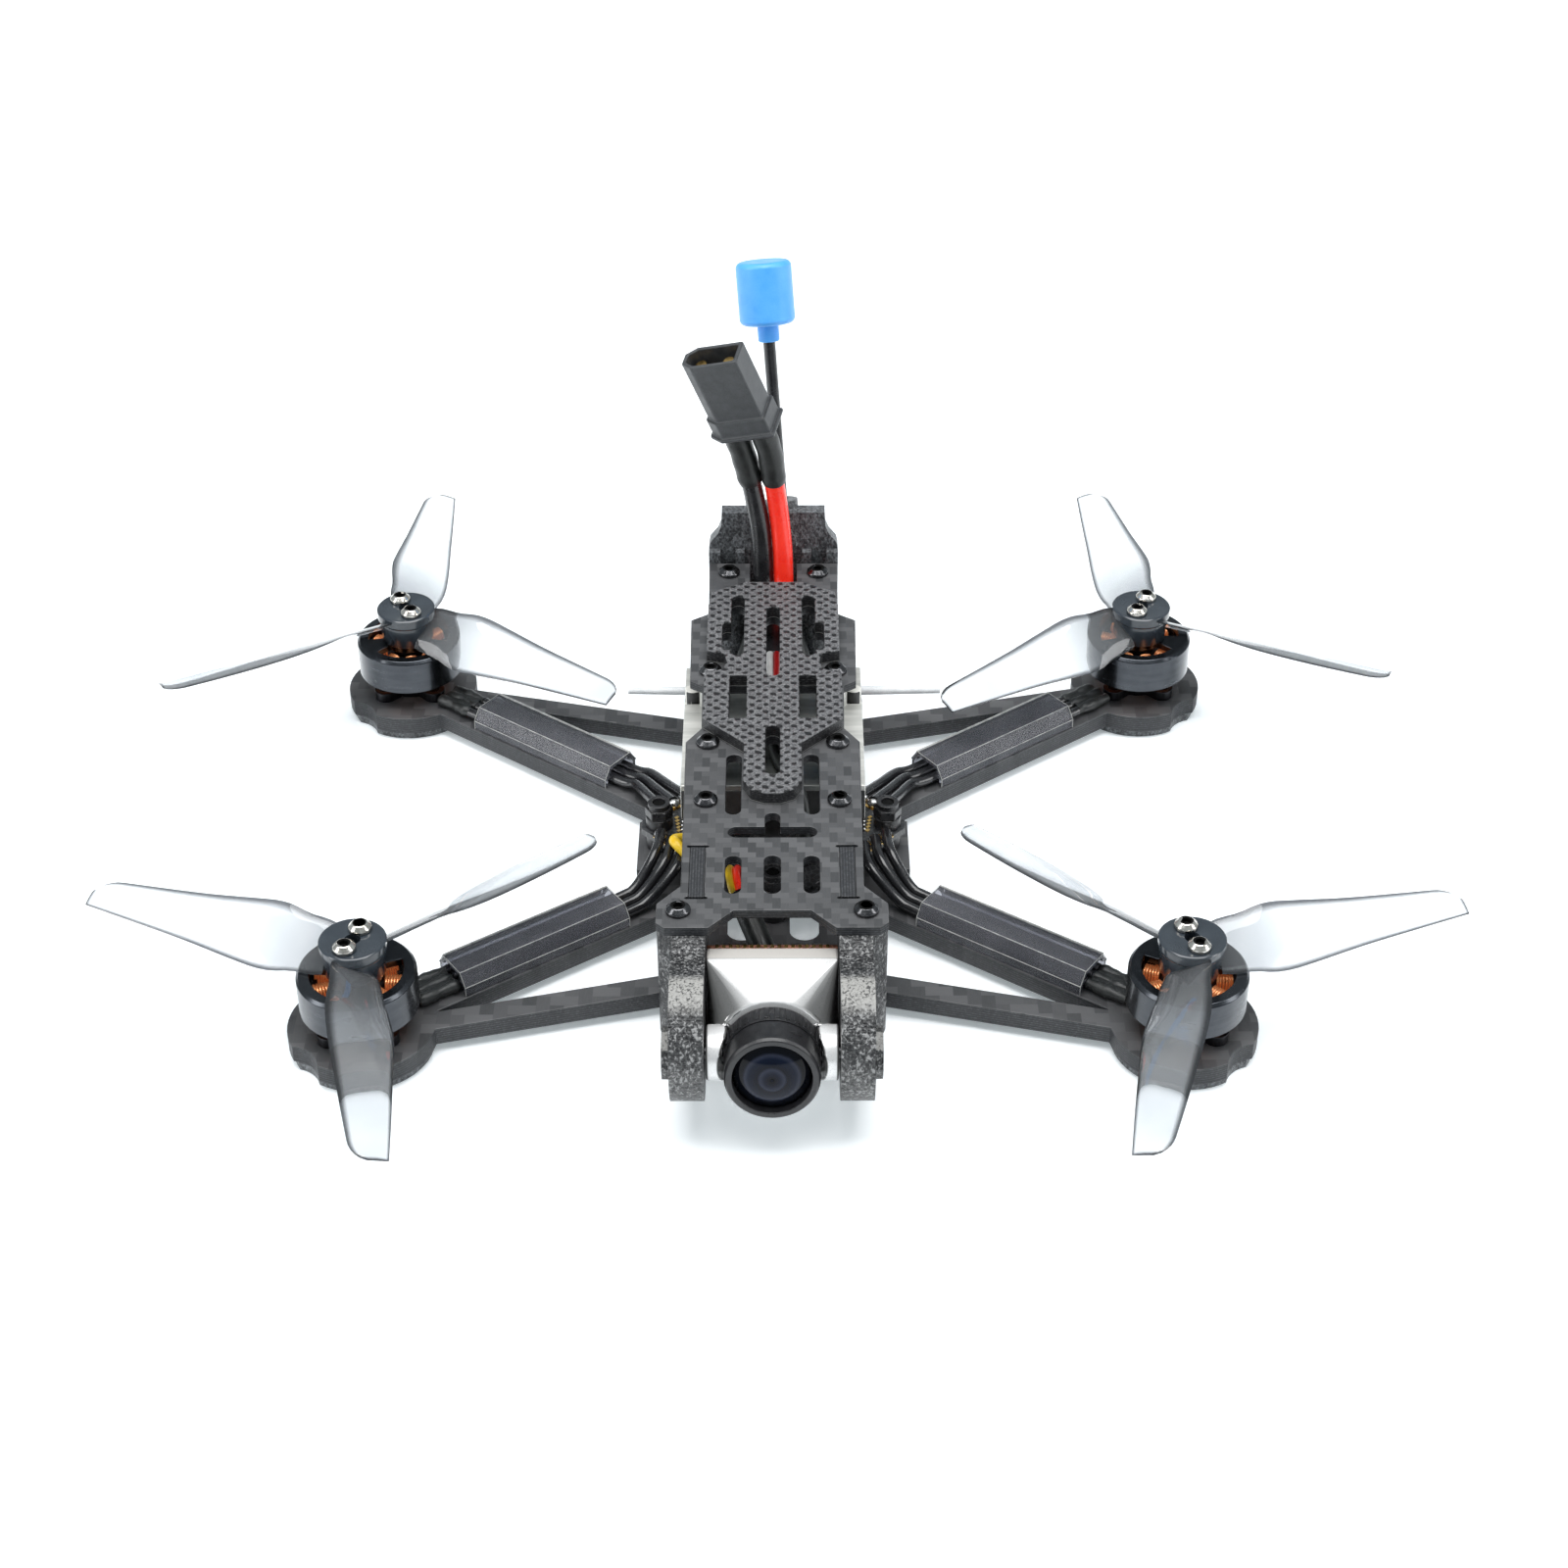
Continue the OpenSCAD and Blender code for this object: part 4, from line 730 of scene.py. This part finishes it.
def add_box(bm, centre, size, turn=0.0, taper=1.0, chamfer=0.0):
    """Adds a box with chamfered upright edges, its top scaled by taper."""
    hx, hy, hz = (s / 2 for s in size)
    c = min(chamfer, hx, hy)
    ring = [(hx, hy - c), (hx - c, hy), (-hx + c, hy), (-hx, hy - c), (-hx, -hy + c),
            (-hx + c, -hy), (hx - c, -hy), (hx, -hy + c)]
    if c == 0:
        ring = [(hx, hy), (-hx, hy), (-hx, -hy), (hx, -hy)]
    spin = Matrix.Rotation(math.radians(turn), 3, "Z")
    levels = []
    for z, k in ((-hz, 1.0), (hz, taper)):
        levels.append([
            bm.verts.new((Vector(centre) + spin @ Vector((k * x, k * y, z))) * MM)
            for x, y in ring
        ])
    skin(bm, levels)
    bm.faces.new(levels[0][::-1])
    bm.faces.new(levels[1])


def add_blob(bm, centre, size, seed=0):
    """Adds a rounded lump, such as a solder joint."""
    made = bmesh.ops.create_icosphere(bm, subdivisions=2, radius=1.0)
    rng = random.Random(seed)
    tilt = [rng.uniform(-0.12, 0.12) for _ in range(3)]
    for v in made["verts"]:
        x, y, z = v.co
        k = 1 + tilt[0] * x + tilt[1] * y + tilt[2] * z
        v.co = (Vector(centre) + Vector((x * size[0], y * size[1], z * size[2])) * k) * MM


def strut(motor, along, across):
    """A point in plan beside the strut of a motor."""
    x, y = MOTORS[motor][:2]
    way = Vector((-x, STRUT_Y - y)).normalized()
    return Vector((x, y)) + along * way + across * Vector((-way.y, way.x))


# ---------- leads ----------

LEAD_RED = [
    (6, 12, 10.5), (6.1, 17, 10.4), (6, 22, 9.8), (6, 27, 9.2), (6, 33, 9.2),
    (5.6, 37.5, 10.6), (4.4, 41, 13.6), (2.9, 43.6, 17.6), (2, 45.3, 21.8),
    (1.75, 46.2, 26), (1.6, 46.8, 31), (1.2, 47.2, 36), (0.7, 47.1, 40.6),
    (0.2, 46.5, 44.8), (-0.2, 45.6, 48.8), (-0.8, 44.7, 52.6), (-2.05, 43.9, 56.5),
]
LEAD_BLACK = [
    (-6, 12, 10.5), (-6.1, 17, 10.4), (-6, 22, 9.8), (-6, 27, 9.2), (-6, 33, 9.2),
    (-5.6, 37.5, 10.6), (-4.4, 41, 13.6), (-2.9, 43.6, 17.6), (-2, 45.3, 21.8),
    (-1.75, 46.2, 26), (-1.9, 46.8, 31), (-2.3, 47.1, 36), (-3, 47.2, 40.6),
    (-3.7, 47, 44.4), (-4.5, 46.6, 48), (-5.3, 46.1, 51.4), (-6.55, 45.4, 55.1),
]
LEAD_D = 3.4


def make_leads():
    shell = refine("connector_shell", 0.3, 3)
    pins = refine("connector_pins", 0.12)
    sleeves = {}
    for colour, route in (("red", LEAD_RED), ("black", LEAD_BLACK)):
        bm = bmesh.new()
        path = curve_points(route[13:], 0.5)
        add_tube(bm, path, 2.12, 20, lambda s: 1 - 0.09 * max(0, 1 - s * 7) ** 2
                 + 0.02 * math.sin(19 * s))
        sleeves[colour] = new_piece("lead_sleeve_" + colour, bm, 60)
        replaced = ("lead_sleeves",) if colour == "red" else ()
        settle(sleeves[colour], "root", "heat_shrink", replaced)
    for colour, route in (("red", LEAD_RED), ("black", LEAD_BLACK)):
        path = curve_points(route, 1.0)
        bm = bmesh.new()
        add_tube(bm, path, LEAD_D / 2, 24)
        lead = new_piece("lead_%s_cord" % colour, bm, 60)
        settle(lead, "root", colour + "_silicone", ("lead_" + colour,))


# ---------- motors ----------


TEETH = 9
TURNS = 6
COIL_Z = 10.1
COIL_HALF = (1.12, 2.9)
COIL_WIRE = 0.2


def squared(value):
    """Pushes a sine or cosine towards 1 or -1, which turns a circle into a rounded box."""
    return math.copysign(abs(value) ** 0.45, value)


def make_windings():
    """Nine wound teeth for each motor, each a layer of separate turns of wire."""
    bm = bmesh.new()
    for number, (x, y, *_rest) in enumerate(MOTORS.values()):
        centre = Matrix.Translation((x, y, COIL_Z))
        for k in range(TEETH):
            turn = centre @ Matrix.Rotation(2 * math.pi * k / TEETH, 4, "Z")
            for j in range(TURNS):
                radial = 4.32 + 0.42 * j
                lean = 0.06 * math.sin(number + 2.1 * k + j)
                loop = []
                for t in range(16):
                    a = 2 * math.pi * t / 16
                    side, rise = squared(math.cos(a)), squared(math.sin(a))
                    loop.append(turn @ Vector((radial + lean * side, COIL_HALF[0] * side,
                                               COIL_HALF[1] * rise)))
                add_loop(bm, loop, COIL_WIRE, 6)
    settle(new_piece("windings_detail", bm), "root", "copper_wire", ("windings",))


def add_loop(bm, loop, radius, sides):
    """Adds a closed ring of wire through the points of loop."""
    n = len(loop)
    middle = sum(loop, Vector()) / n
    rings = []
    for i, point in enumerate(loop):
        ahead = (loop[(i + 1) % n] - loop[i - 1]).normalized()
        out = point - middle
        out = (out - ahead * out.dot(ahead)).normalized()
        rings.append(add_circle(bm, point, radius, out, ahead.cross(out), sides))
    skin(bm, rings + rings[:1])


# Blade width at shares of the radius, and the outline of its section over a width of 1
CHORDS = [
    (0.08, 7.6), (0.12, 8.8), (0.2, 9.0), (0.27, 10.6), (0.34, 10.9), (0.45, 10.0),
    (0.6, 8.5), (0.8, 6.9), (0.93, 5.8), (1.0, 5.2),
]
SECTION = [
    (0.5, 0.0), (0.25, 0.5), (-0.1, 0.62), (-0.35, 0.4), (-0.5, 0.0), (-0.35, -0.1),
    (-0.1, 0.02), (0.25, 0.0),
]
PROP_R = 44.0
BLADE_ROOT = 3.9
BLADE_MID = 17.5
BLADE_STEPS = 34
BELL_TOP = 14.6
HUB_TOP = 20.5


def chord(share):
    """Blade width at a share of the radius, with the table's corners smoothed."""
    total = 0.0
    for k in range(-2, 3):
        at = min(1.0, max(0.08, share + 0.012 * k * min(1, 8 * (1.0 - share))))
        for (a, low), (b, high) in zip(CHORDS, CHORDS[1:]):
            if at <= b:
                total += low + (high - low) * (at - a) / (b - a)
                break
    return total / 5


def blade_rings(sense):
    """Rings of points round the blade's section from its root to its tip, along +X."""
    rings = []
    stations = [BLADE_ROOT + (PROP_R - BLADE_ROOT) * (1 - (1 - k / BLADE_STEPS) ** 1.25)
                for k in range(BLADE_STEPS + 1)]
    for r in stations:
        c, t = chord(r / PROP_R), 1.2 - 0.6 * r / PROP_R
        twist = math.radians(min(36, math.degrees(math.atan2(60, 2 * math.pi * r))))
        late = max(0.0, (r / PROP_R - 0.92) / 0.08)
        lead = max(0.12, math.sqrt(max(0.0, 1 - late * late)))
        n = len(SECTION)
        ring = []
        for i in range(n):
            a, b, d, e = (SECTION[(i + k) % n] for k in (-1, 0, 1, 2))
            for s in (0, 0.34, 0.67):
                q = [
                    0.5 * (2 * b[m] + (d[m] - a[m]) * s
                           + (2 * a[m] - 5 * b[m] + 4 * d[m] - e[m]) * s * s
                           + (3 * b[m] - a[m] - 3 * d[m] + e[m]) * s ** 3)
                    for m in (0, 1)
                ]
                x = max(-0.5, min(0.5, q[0])) * c * (lead if q[0] > 0 else 1)
                y = q[1] * t
                ring.append(Vector((
                    r,
                    (x * math.cos(twist) - y * math.sin(twist)) * (-1 if sense > 0 else 1),
                    BLADE_MID + x * math.sin(twist) + y * math.cos(twist),
                )))
        rings.append(ring)
    return rings


def make_prop(motor):
    """Three blades and their hub, with the blades' edges, roots and tips marked for painted shade
    in the material.
    """
    x, y, sense, first = MOTORS[motor][:4]
    bm = bmesh.new()
    place = Matrix.Translation((x, y, 0)) @ Matrix.Rotation(math.radians(first), 4, "Z")
    rings = blade_rings(sense)
    for a in (0, 120, 240):
        spin = place @ Matrix.Rotation(math.radians(a), 4, "Z")
        verts = [[bm.verts.new((spin @ p) * MM) for p in ring] for ring in rings]
        skin(bm, verts)
        bm.faces.new(verts[0][::-1])
        bm.faces.new(verts[-1])
    blades = new_piece("prop_%s_blades" % motor, bm, 70)
    # Weights of the painted shade at the blades' edges, roots and tips
    rim_shade = blades.data.attributes.new("rim_shade", "FLOAT", "POINT")
    n = len(rings[0])
    for i in range(len(blades.data.vertices)):
        station, at = divmod(i % (len(rings) * n), n)
        near = min(abs(at - e) for e in (0, n, n / 2))
        out = station / (len(rings) - 1)
        root = max(0.0, 1 - out / 0.3)
        rim_shade.data[i].value = max(0.9 if near <= 1 else 0.0, 0.55 * root,
                                1.0 if out > 0.985 else 0.0)
    body = "rotor_" + motor
    settle(blades, body, "prop_smoke", ("prop_" + motor,))
    # The hub: a stepped turned body with two screw recesses
    bm = bmesh.new()
    profile = [(1.2, BELL_TOP), (4.35, BELL_TOP), (4.5, BELL_TOP + 0.2), (4.6, 18.4),
               (4.95, 18.75), (5.0, 18.95), (5.0, HUB_TOP - 0.22), (4.82, HUB_TOP - 0.05),
               (4.66, HUB_TOP), (4.5, HUB_TOP - 0.05), (1.2, HUB_TOP - 0.08)]
    loops = [add_circle(bm, Vector((x, y, z)), radius, EAST, NORTH, 72) for radius, z in profile]
    skin(bm, loops + loops[:1])
    hub = new_piece("prop_%s_hub" % motor, bm, 40)
    settle(hub, body, "prop_smoke", material="prop_hub")


def pad_place(sx, sy, k):
    """Plan position of a motor's pad, one of three along the board's slanting edge."""
    return sx * (16.3 + PAD_SPREAD * k), BOARD_Y + sy * (5 - PAD_SPREAD * k)


def make_wires():
    """Three wires along each arm, and the lumpy heat-shrink over their joints."""
    wires = bmesh.new()
    sleeves = bmesh.new()
    for motor, (x, y, _sense, _first, start) in MOTORS.items():
        sx, sy = math.copysign(1, x), math.copysign(1, y)
        far = start + COVER_LEN
        for k in (-1, 0, 1):
            def over(along):
                return Vector((*strut(motor, along, sx * sy * k * WIRE_PITCH), WIRE_Z))

            pad = Vector((*pad_place(sx, sy, k), 9.65))
            out = over(far + 5) + Vector((0, 0, 0.7))
            bend = pad + Vector((sx * 0.7, -6, 0.2)) if y < 0 else (pad + out) / 2
            route = [pad, bend, out, over(far + 2), over(far - 6), over(start + 6),
                     over(SLEEVE_END + 0.1)]
            add_tube(wires, curve_points(route, 0.9), 0.85, 14)
            joint = [over(SLEEVE_START + (SLEEVE_END - SLEEVE_START) * t / 14)
                     for t in range(15)]
            phase = 1.7 * k + x
            add_tube(sleeves, joint, 1.1, 16,
                     lambda s, p=phase: 0.86 + 0.1 * math.sin(9 * s + p)
                     + 0.05 * math.sin(23 * s + p) - 0.12 * max(0, abs(2 * s - 1) - 0.8) * 5)
        centre = strut(motor, (SLEEVE_START + SLEEVE_END) / 2, 0)
        turn = math.degrees(math.atan2(STRUT_Y - y, -x))
        add_box(sleeves, (*centre, 5.65), (SLEEVE_END - SLEEVE_START - 0.4, 4.6, 1.5), turn,
                0.96, 0.4)
    settle(new_piece("motor_wires_detail", wires, 60), "root", SLOT["motor_wires"],
           ("motor_wires",))
    settle(new_piece("wire_sleeves_detail", sleeves, 60), "root", SLOT["wire_sleeves"],
           ("wire_sleeves",))


# ---------- boards ----------


def make_board_details():
    """Solder joints, pads and small parts at the flight controller's two open corners."""
    solder, gold, chips = bmesh.new(), bmesh.new(), bmesh.new()
    seed = 0
    for sx in (-1, 1):
        for sy in (-1, 1):
            for k in (-1, 0, 1):
                px, py = pad_place(sx, sy, k)
                seed += 1
                add_blob(solder, (px, py, 9.3), (1.05, 1.05, 0.75), seed)
                add_box(gold, (px, py, 8.76), (2.1, 2.1, 0.12), 45, 1, 0.3)
        for j in range(5):
            a = -1.1 + 0.55 * j
            y = BOARD_Y + a * 1.9
            add_box(gold, (sx * (15.2 + 0.12 * j), BOARD_Y + a * 1.6, 8.78), (0.7, 0.5, 0.14), 45)
            add_box(chips, (sx * 14.1, y, 8.95), (0.9, 0.6, 0.5), 45)
            add_blob(solder, (sx * 14.7, y + 0.5, 8.85), (0.3, 0.3, 0.25), j)
    settle(new_piece("solder_joints", solder), "root", "connector_steel")
    settle(new_piece("board_pads", gold, 30), "root", "gold_contact")
    settle(new_piece("board_chips", chips, 30), "root", "black_chip")


def make_vtx_cable():
    """The video transmitter's cable under the pad: two wires that enter a banded sleeve."""
    route = [(0, 28.6, 21.7), (0, 24, 21.7), (0, 12, 21.6), (0.6, 0, 21.6), (2.8, -7.2, 21.8),
             (4.4, -10.2, 19.4), (4.8, -11.4, 13.6), (4.8, -12.4, 9.3)]
    for name, slot, aside in (("white", "white_wire", -0.58), ("red", "red_silicone", 0.58)):
        bm = bmesh.new()
        add_tube(bm, curve_points([(x + aside, y, z) for x, y, z in route[:2]] + [
            (0.6 * aside, 18.7, 21.7), (0.6 * aside, 17, 21.7)], 0.6), 0.58, 14)
        settle(new_piece("vtx_cable_" + name, bm, 60), "root", slot,
               ("vtx_cable",) if name == "white" else (), slot.replace("silicone", "wire"))
    bm = bmesh.new()
    add_tube(bm, curve_points([(0, 18.2, 21.7)] + route[2:], 0.6), 1.2, 20)
    settle(new_piece("vtx_cable_sleeve", bm, 50), "root", "heat_shrink")
    bm = bmesh.new()
    add_tube(bm, [Vector((0, y, 21.7)) for y in (18.9, 18.55, 18.2)], 1.28, 20)
    settle(new_piece("vtx_cable_ring", bm, 40), "root", "connector_steel")


def bend_with_camera(piece, slot):
    """Gives a piece of the camera's cable its finish and bakes its place into its mesh."""
    piece.data.materials.append(MATERIALS[slot])
    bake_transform(piece)


def make_camera_cable():
    """Three wires from the camera to the board, in a sleeve on the camera's side."""
    route = [(0, -46.8, 11.8), (-1, -42, 14), (-3.4, -36, 16.4), (-5, -30, 17),
             (-5.6, -24, 15.6), (-5.6, -18.5, 12.4), (-5.4, -14.8, 9.3)]
    for name, slot, aside in (("yellow", "yellow_wire", -1.15), ("red", "red_silicone", 0.0),
                              ("black", "black_cable", 1.15)):
        bm = bmesh.new()
        add_tube(bm, curve_points([(x + aside, y, z) for x, y, z in route], 0.6), 0.56, 12)
        wire = new_piece("camera_cable_" + name, bm, 60)
        if name == "yellow":
            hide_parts("camera_cable")
        bend_with_camera(wire, slot)
    bm = bmesh.new()
    add_tube(bm, curve_points([(0, -46.4, 12), (-1, -42, 14), (-3.4, -36, 16.4),
                               (-4.7, -31.5, 16.9)], 0.6), 1.85, 24)
    bend_with_camera(new_piece("camera_cable_sleeve", bm, 50), "heat_shrink")


def make_cover_edges():
    """Painted highlights along the edges of the four clear covers, and a pale sheet on the wall of
    their far side as a painted highlight.
    """
    bm = bmesh.new()
    for motor, (_x, _y, _sense, _first, start) in MOTORS.items():
        first, last = strut(motor, start, 0), strut(motor, start + COVER_LEN, 0)
        way = (last - first).normalized()
        side = Vector((-way.y, way.x))
        if side.y < 0:
            side = -side

        def at(along, across, up):
            return Vector((*(first + along * way + across * side), ARM_TOP + up))

        # The far edges catch more light than the near ones
        for (across, up), near, far in ((COVER_TOP, 0.07, 0.18), (COVER_KNEE, 0.06, 0.12)):
            for sign, radius in ((-1, near), (1, far)):
                path = [at(k * COVER_LEN / 4, sign * across, up) for k in range(5)]
                add_tube(bm, path, radius, 8)
        outline = [(-COVER_FOOT[0], COVER_FOOT[1]), (-COVER_KNEE[0], COVER_KNEE[1]),
                   (-COVER_TOP[0], COVER_TOP[1]), COVER_TOP, COVER_KNEE]
        for along in (0.0, COVER_LEN):
            for a, b in zip(outline, outline[1:]):
                middle = ((a[0] + b[0]) / 2, (a[1] + b[1]) / 2)
                add_tube(bm, [at(along, *a), at(along, *middle), at(along, *b)], 0.06, 8)
        # A pale sheet on the far wall: a painted highlight
        inset = 0.3
        bm.faces.new([bm.verts.new(at(*corner) * MM) for corner in (
            (inset, 2.95, 3.2), (COVER_LEN - inset, 2.95, 3.2),
            (COVER_LEN - inset, 3.85, 1.85), (inset, 3.85, 1.85))])
    settle(new_piece("cover_edges", bm, 40), "root", "clear_cover", (), "cover_edge")


def make_shrouds():
    """A dark sleeve round each lead where it climbs behind the transmitter."""
    for colour, route in (("red", LEAD_RED), ("black", LEAD_BLACK)):
        bm = bmesh.new()
        add_tube(bm, curve_points(route[3:9], 0.6), 1.86, 20)
        settle(new_piece("lead_shroud_" + colour, bm, 60), "root", "heat_shrink")
    bm = bmesh.new()
    add_tube(bm, curve_points([(-12.6, -7.4, 10), (-15.0, -8.8, 11), (-15.7, -10.4, 11.8),
                               (-15.2, -12.0, 12.2), (-13.4, -13.4, 11)], 0.4), 0.85, 14)
    settle(new_piece("board_yellow_wire", bm, 60), "root", "yellow_wire")


def on_camera(x, up, out):
    """A point beside the camera: across, up its case and out along its lens."""
    cos, sin = math.cos(CAMERA_TILT), math.sin(CAMERA_TILT)
    return Vector((x, PIVOT_Y + up * sin - out * cos, PIVOT_Z + up * cos + out * sin))


def make_camera_details():
    """Contacts along the edge of the camera's board, and a threaded collar at its lens."""
    bm = bmesh.new()
    for k in range(17):
        centre = on_camera(-8 + k, 9.42, -13.0)
        add_box(bm, centre, (0.5, 0.7, 0.4), 0, 1, 0.06)
    settle(new_piece("camera_board_contacts", bm, 30), "camera", "gold_contact")
    bm = bmesh.new()
    up = on_camera(0, 1, 0) - on_camera(0, 0, 0)
    steps = ((6.0, 5.6), (5.75, 5.6), (5.75, 5.0), (5.2, 4.4), (5.2, 4.0), (4.4, 3.4))
    skin(bm, [add_circle(bm, on_camera(0, 0, out), radius, EAST, up, 64)
              for radius, out in steps])
    settle(new_piece("lens_inner_steps", bm, 30), "camera", "lens_black")


def shade_sockets(piece, axis=2):
    """Gives the hexagon sockets of a piece made of screws a near-black lining, painted shade in
    their hollows.
    """
    piece.data.materials.append(MATERIALS["socket_black"])
    bm = bmesh.new()
    bm.from_mesh(piece.data)
    left = set(bm.faces)
    across = [k for k in range(3) if k != axis]
    while left:
        island, stack = [], [left.pop()]
        while stack:
            face = stack.pop()
            island.append(face)
            for edge in face.edges:
                for other in edge.link_faces:
                    if other in left:
                        left.remove(other)
                        stack.append(other)
        points = [v.co for f in island for v in f.verts]
        middle = [(min(p[k] for p in points) + max(p[k] for p in points)) / 2 for k in range(3)]
        for face in island:
            spot = face.calc_center_median()
            away = math.hypot(*(spot[k] - middle[k] for k in across)) / MM
            if away < 0.8:
                face.material_index = 1
    bm.to_mesh(piece.data)
    bm.free()


# ---------- the whole ----------


def make_floor():
    bm = bmesh.new()
    for x, y in ((-4, -4), (4, -4), (4, 4), (-4, 4)):
        bm.verts.new((x, y, 0))
    bm.faces.new(bm.verts)
    mesh = bpy.data.meshes.new("floor")
    bm.to_mesh(mesh)
    bm.free()
    floor = bpy.data.objects.new("floor", mesh)
    bpy.context.scene.collection.objects.link(floor)
    floor.data.materials.append(floor_paper("floor_paper"))


make_camera()
make_studio()
MATERIALS = make_materials()
make_leads()
make_windings()
make_wires()
make_board_details()
make_vtx_cable()
make_camera_cable()
make_shrouds()
make_cover_edges()
make_camera_details()
for motor in MOTORS:
    make_prop(motor)
    refine("bell_" + motor, 0.12, 2)
    shade_sockets(refine("prop_screws_" + motor, 0.16, 3))

# Bevel width and steps of the pieces that keep their slot's own material
REFINED = {
    "foot_pads": (0.15, 2), "top_plate": (0.12, 2), "standoffs": (0.1, 2),
    "battery_pad": (0.15, 2),
    "flight_controller": (0.05, 1), "fc_components": (0.08, 1), "usb_port": (0.12, 2),
    "stack_nuts": (0.2, 3), "boot_button": (0.08, 2),
    "vtx_board": (0.05, 1), "receiver": (0.1, 2),
    "receiver_antenna": (0, 0), "antenna_stem": (0.1, 2), "antenna_head": (0.35, 3),
    "rear_mount": (0.35, 3), "capacitor": (0.2, 2), "motor_bases": (0.12, 2),
    "bearings": (0.08, 1), "stators": (0.05, 1), "arm_covers": (0.2, 3),
    "camera_board": (0.08, 2), "lens_barrel": (0.15, 2),
    "lens_ring": (0.08, 2), "lens_glass": (0, 0),
}
SCREWS = ("top_screws", "bottom_screws", "stack_screws", "vtx_screws", "motor_screws")
for node, (width, segments) in REFINED.items():
    refine(node, width, segments, angle=60 if width == 0 else 32)
refine("camera_body", 0.35, 3)
refine("stack_dampers", 0.2, 2, "lens_black")
refine("side_plates", 0.12, 2, "carbon_side")
refine("arm_plate", 0.12, 2, "carbon_arm")
refine("vtx_lid", 0.15, 2, "lid_aluminium")
refine("vtx_case", 0.2, 2, "case_pale")
for node in ("camera_mount_left", "camera_mount_right"):
    refine(node, 0.25, 3, "cheek_tpu")
for node in SCREWS:
    shade_sockets(refine(node, 0.16, 3))
shade_sockets(refine("camera_screws", 0.16, 3), 0)

make_floor()
bpy.context.view_layer.update()
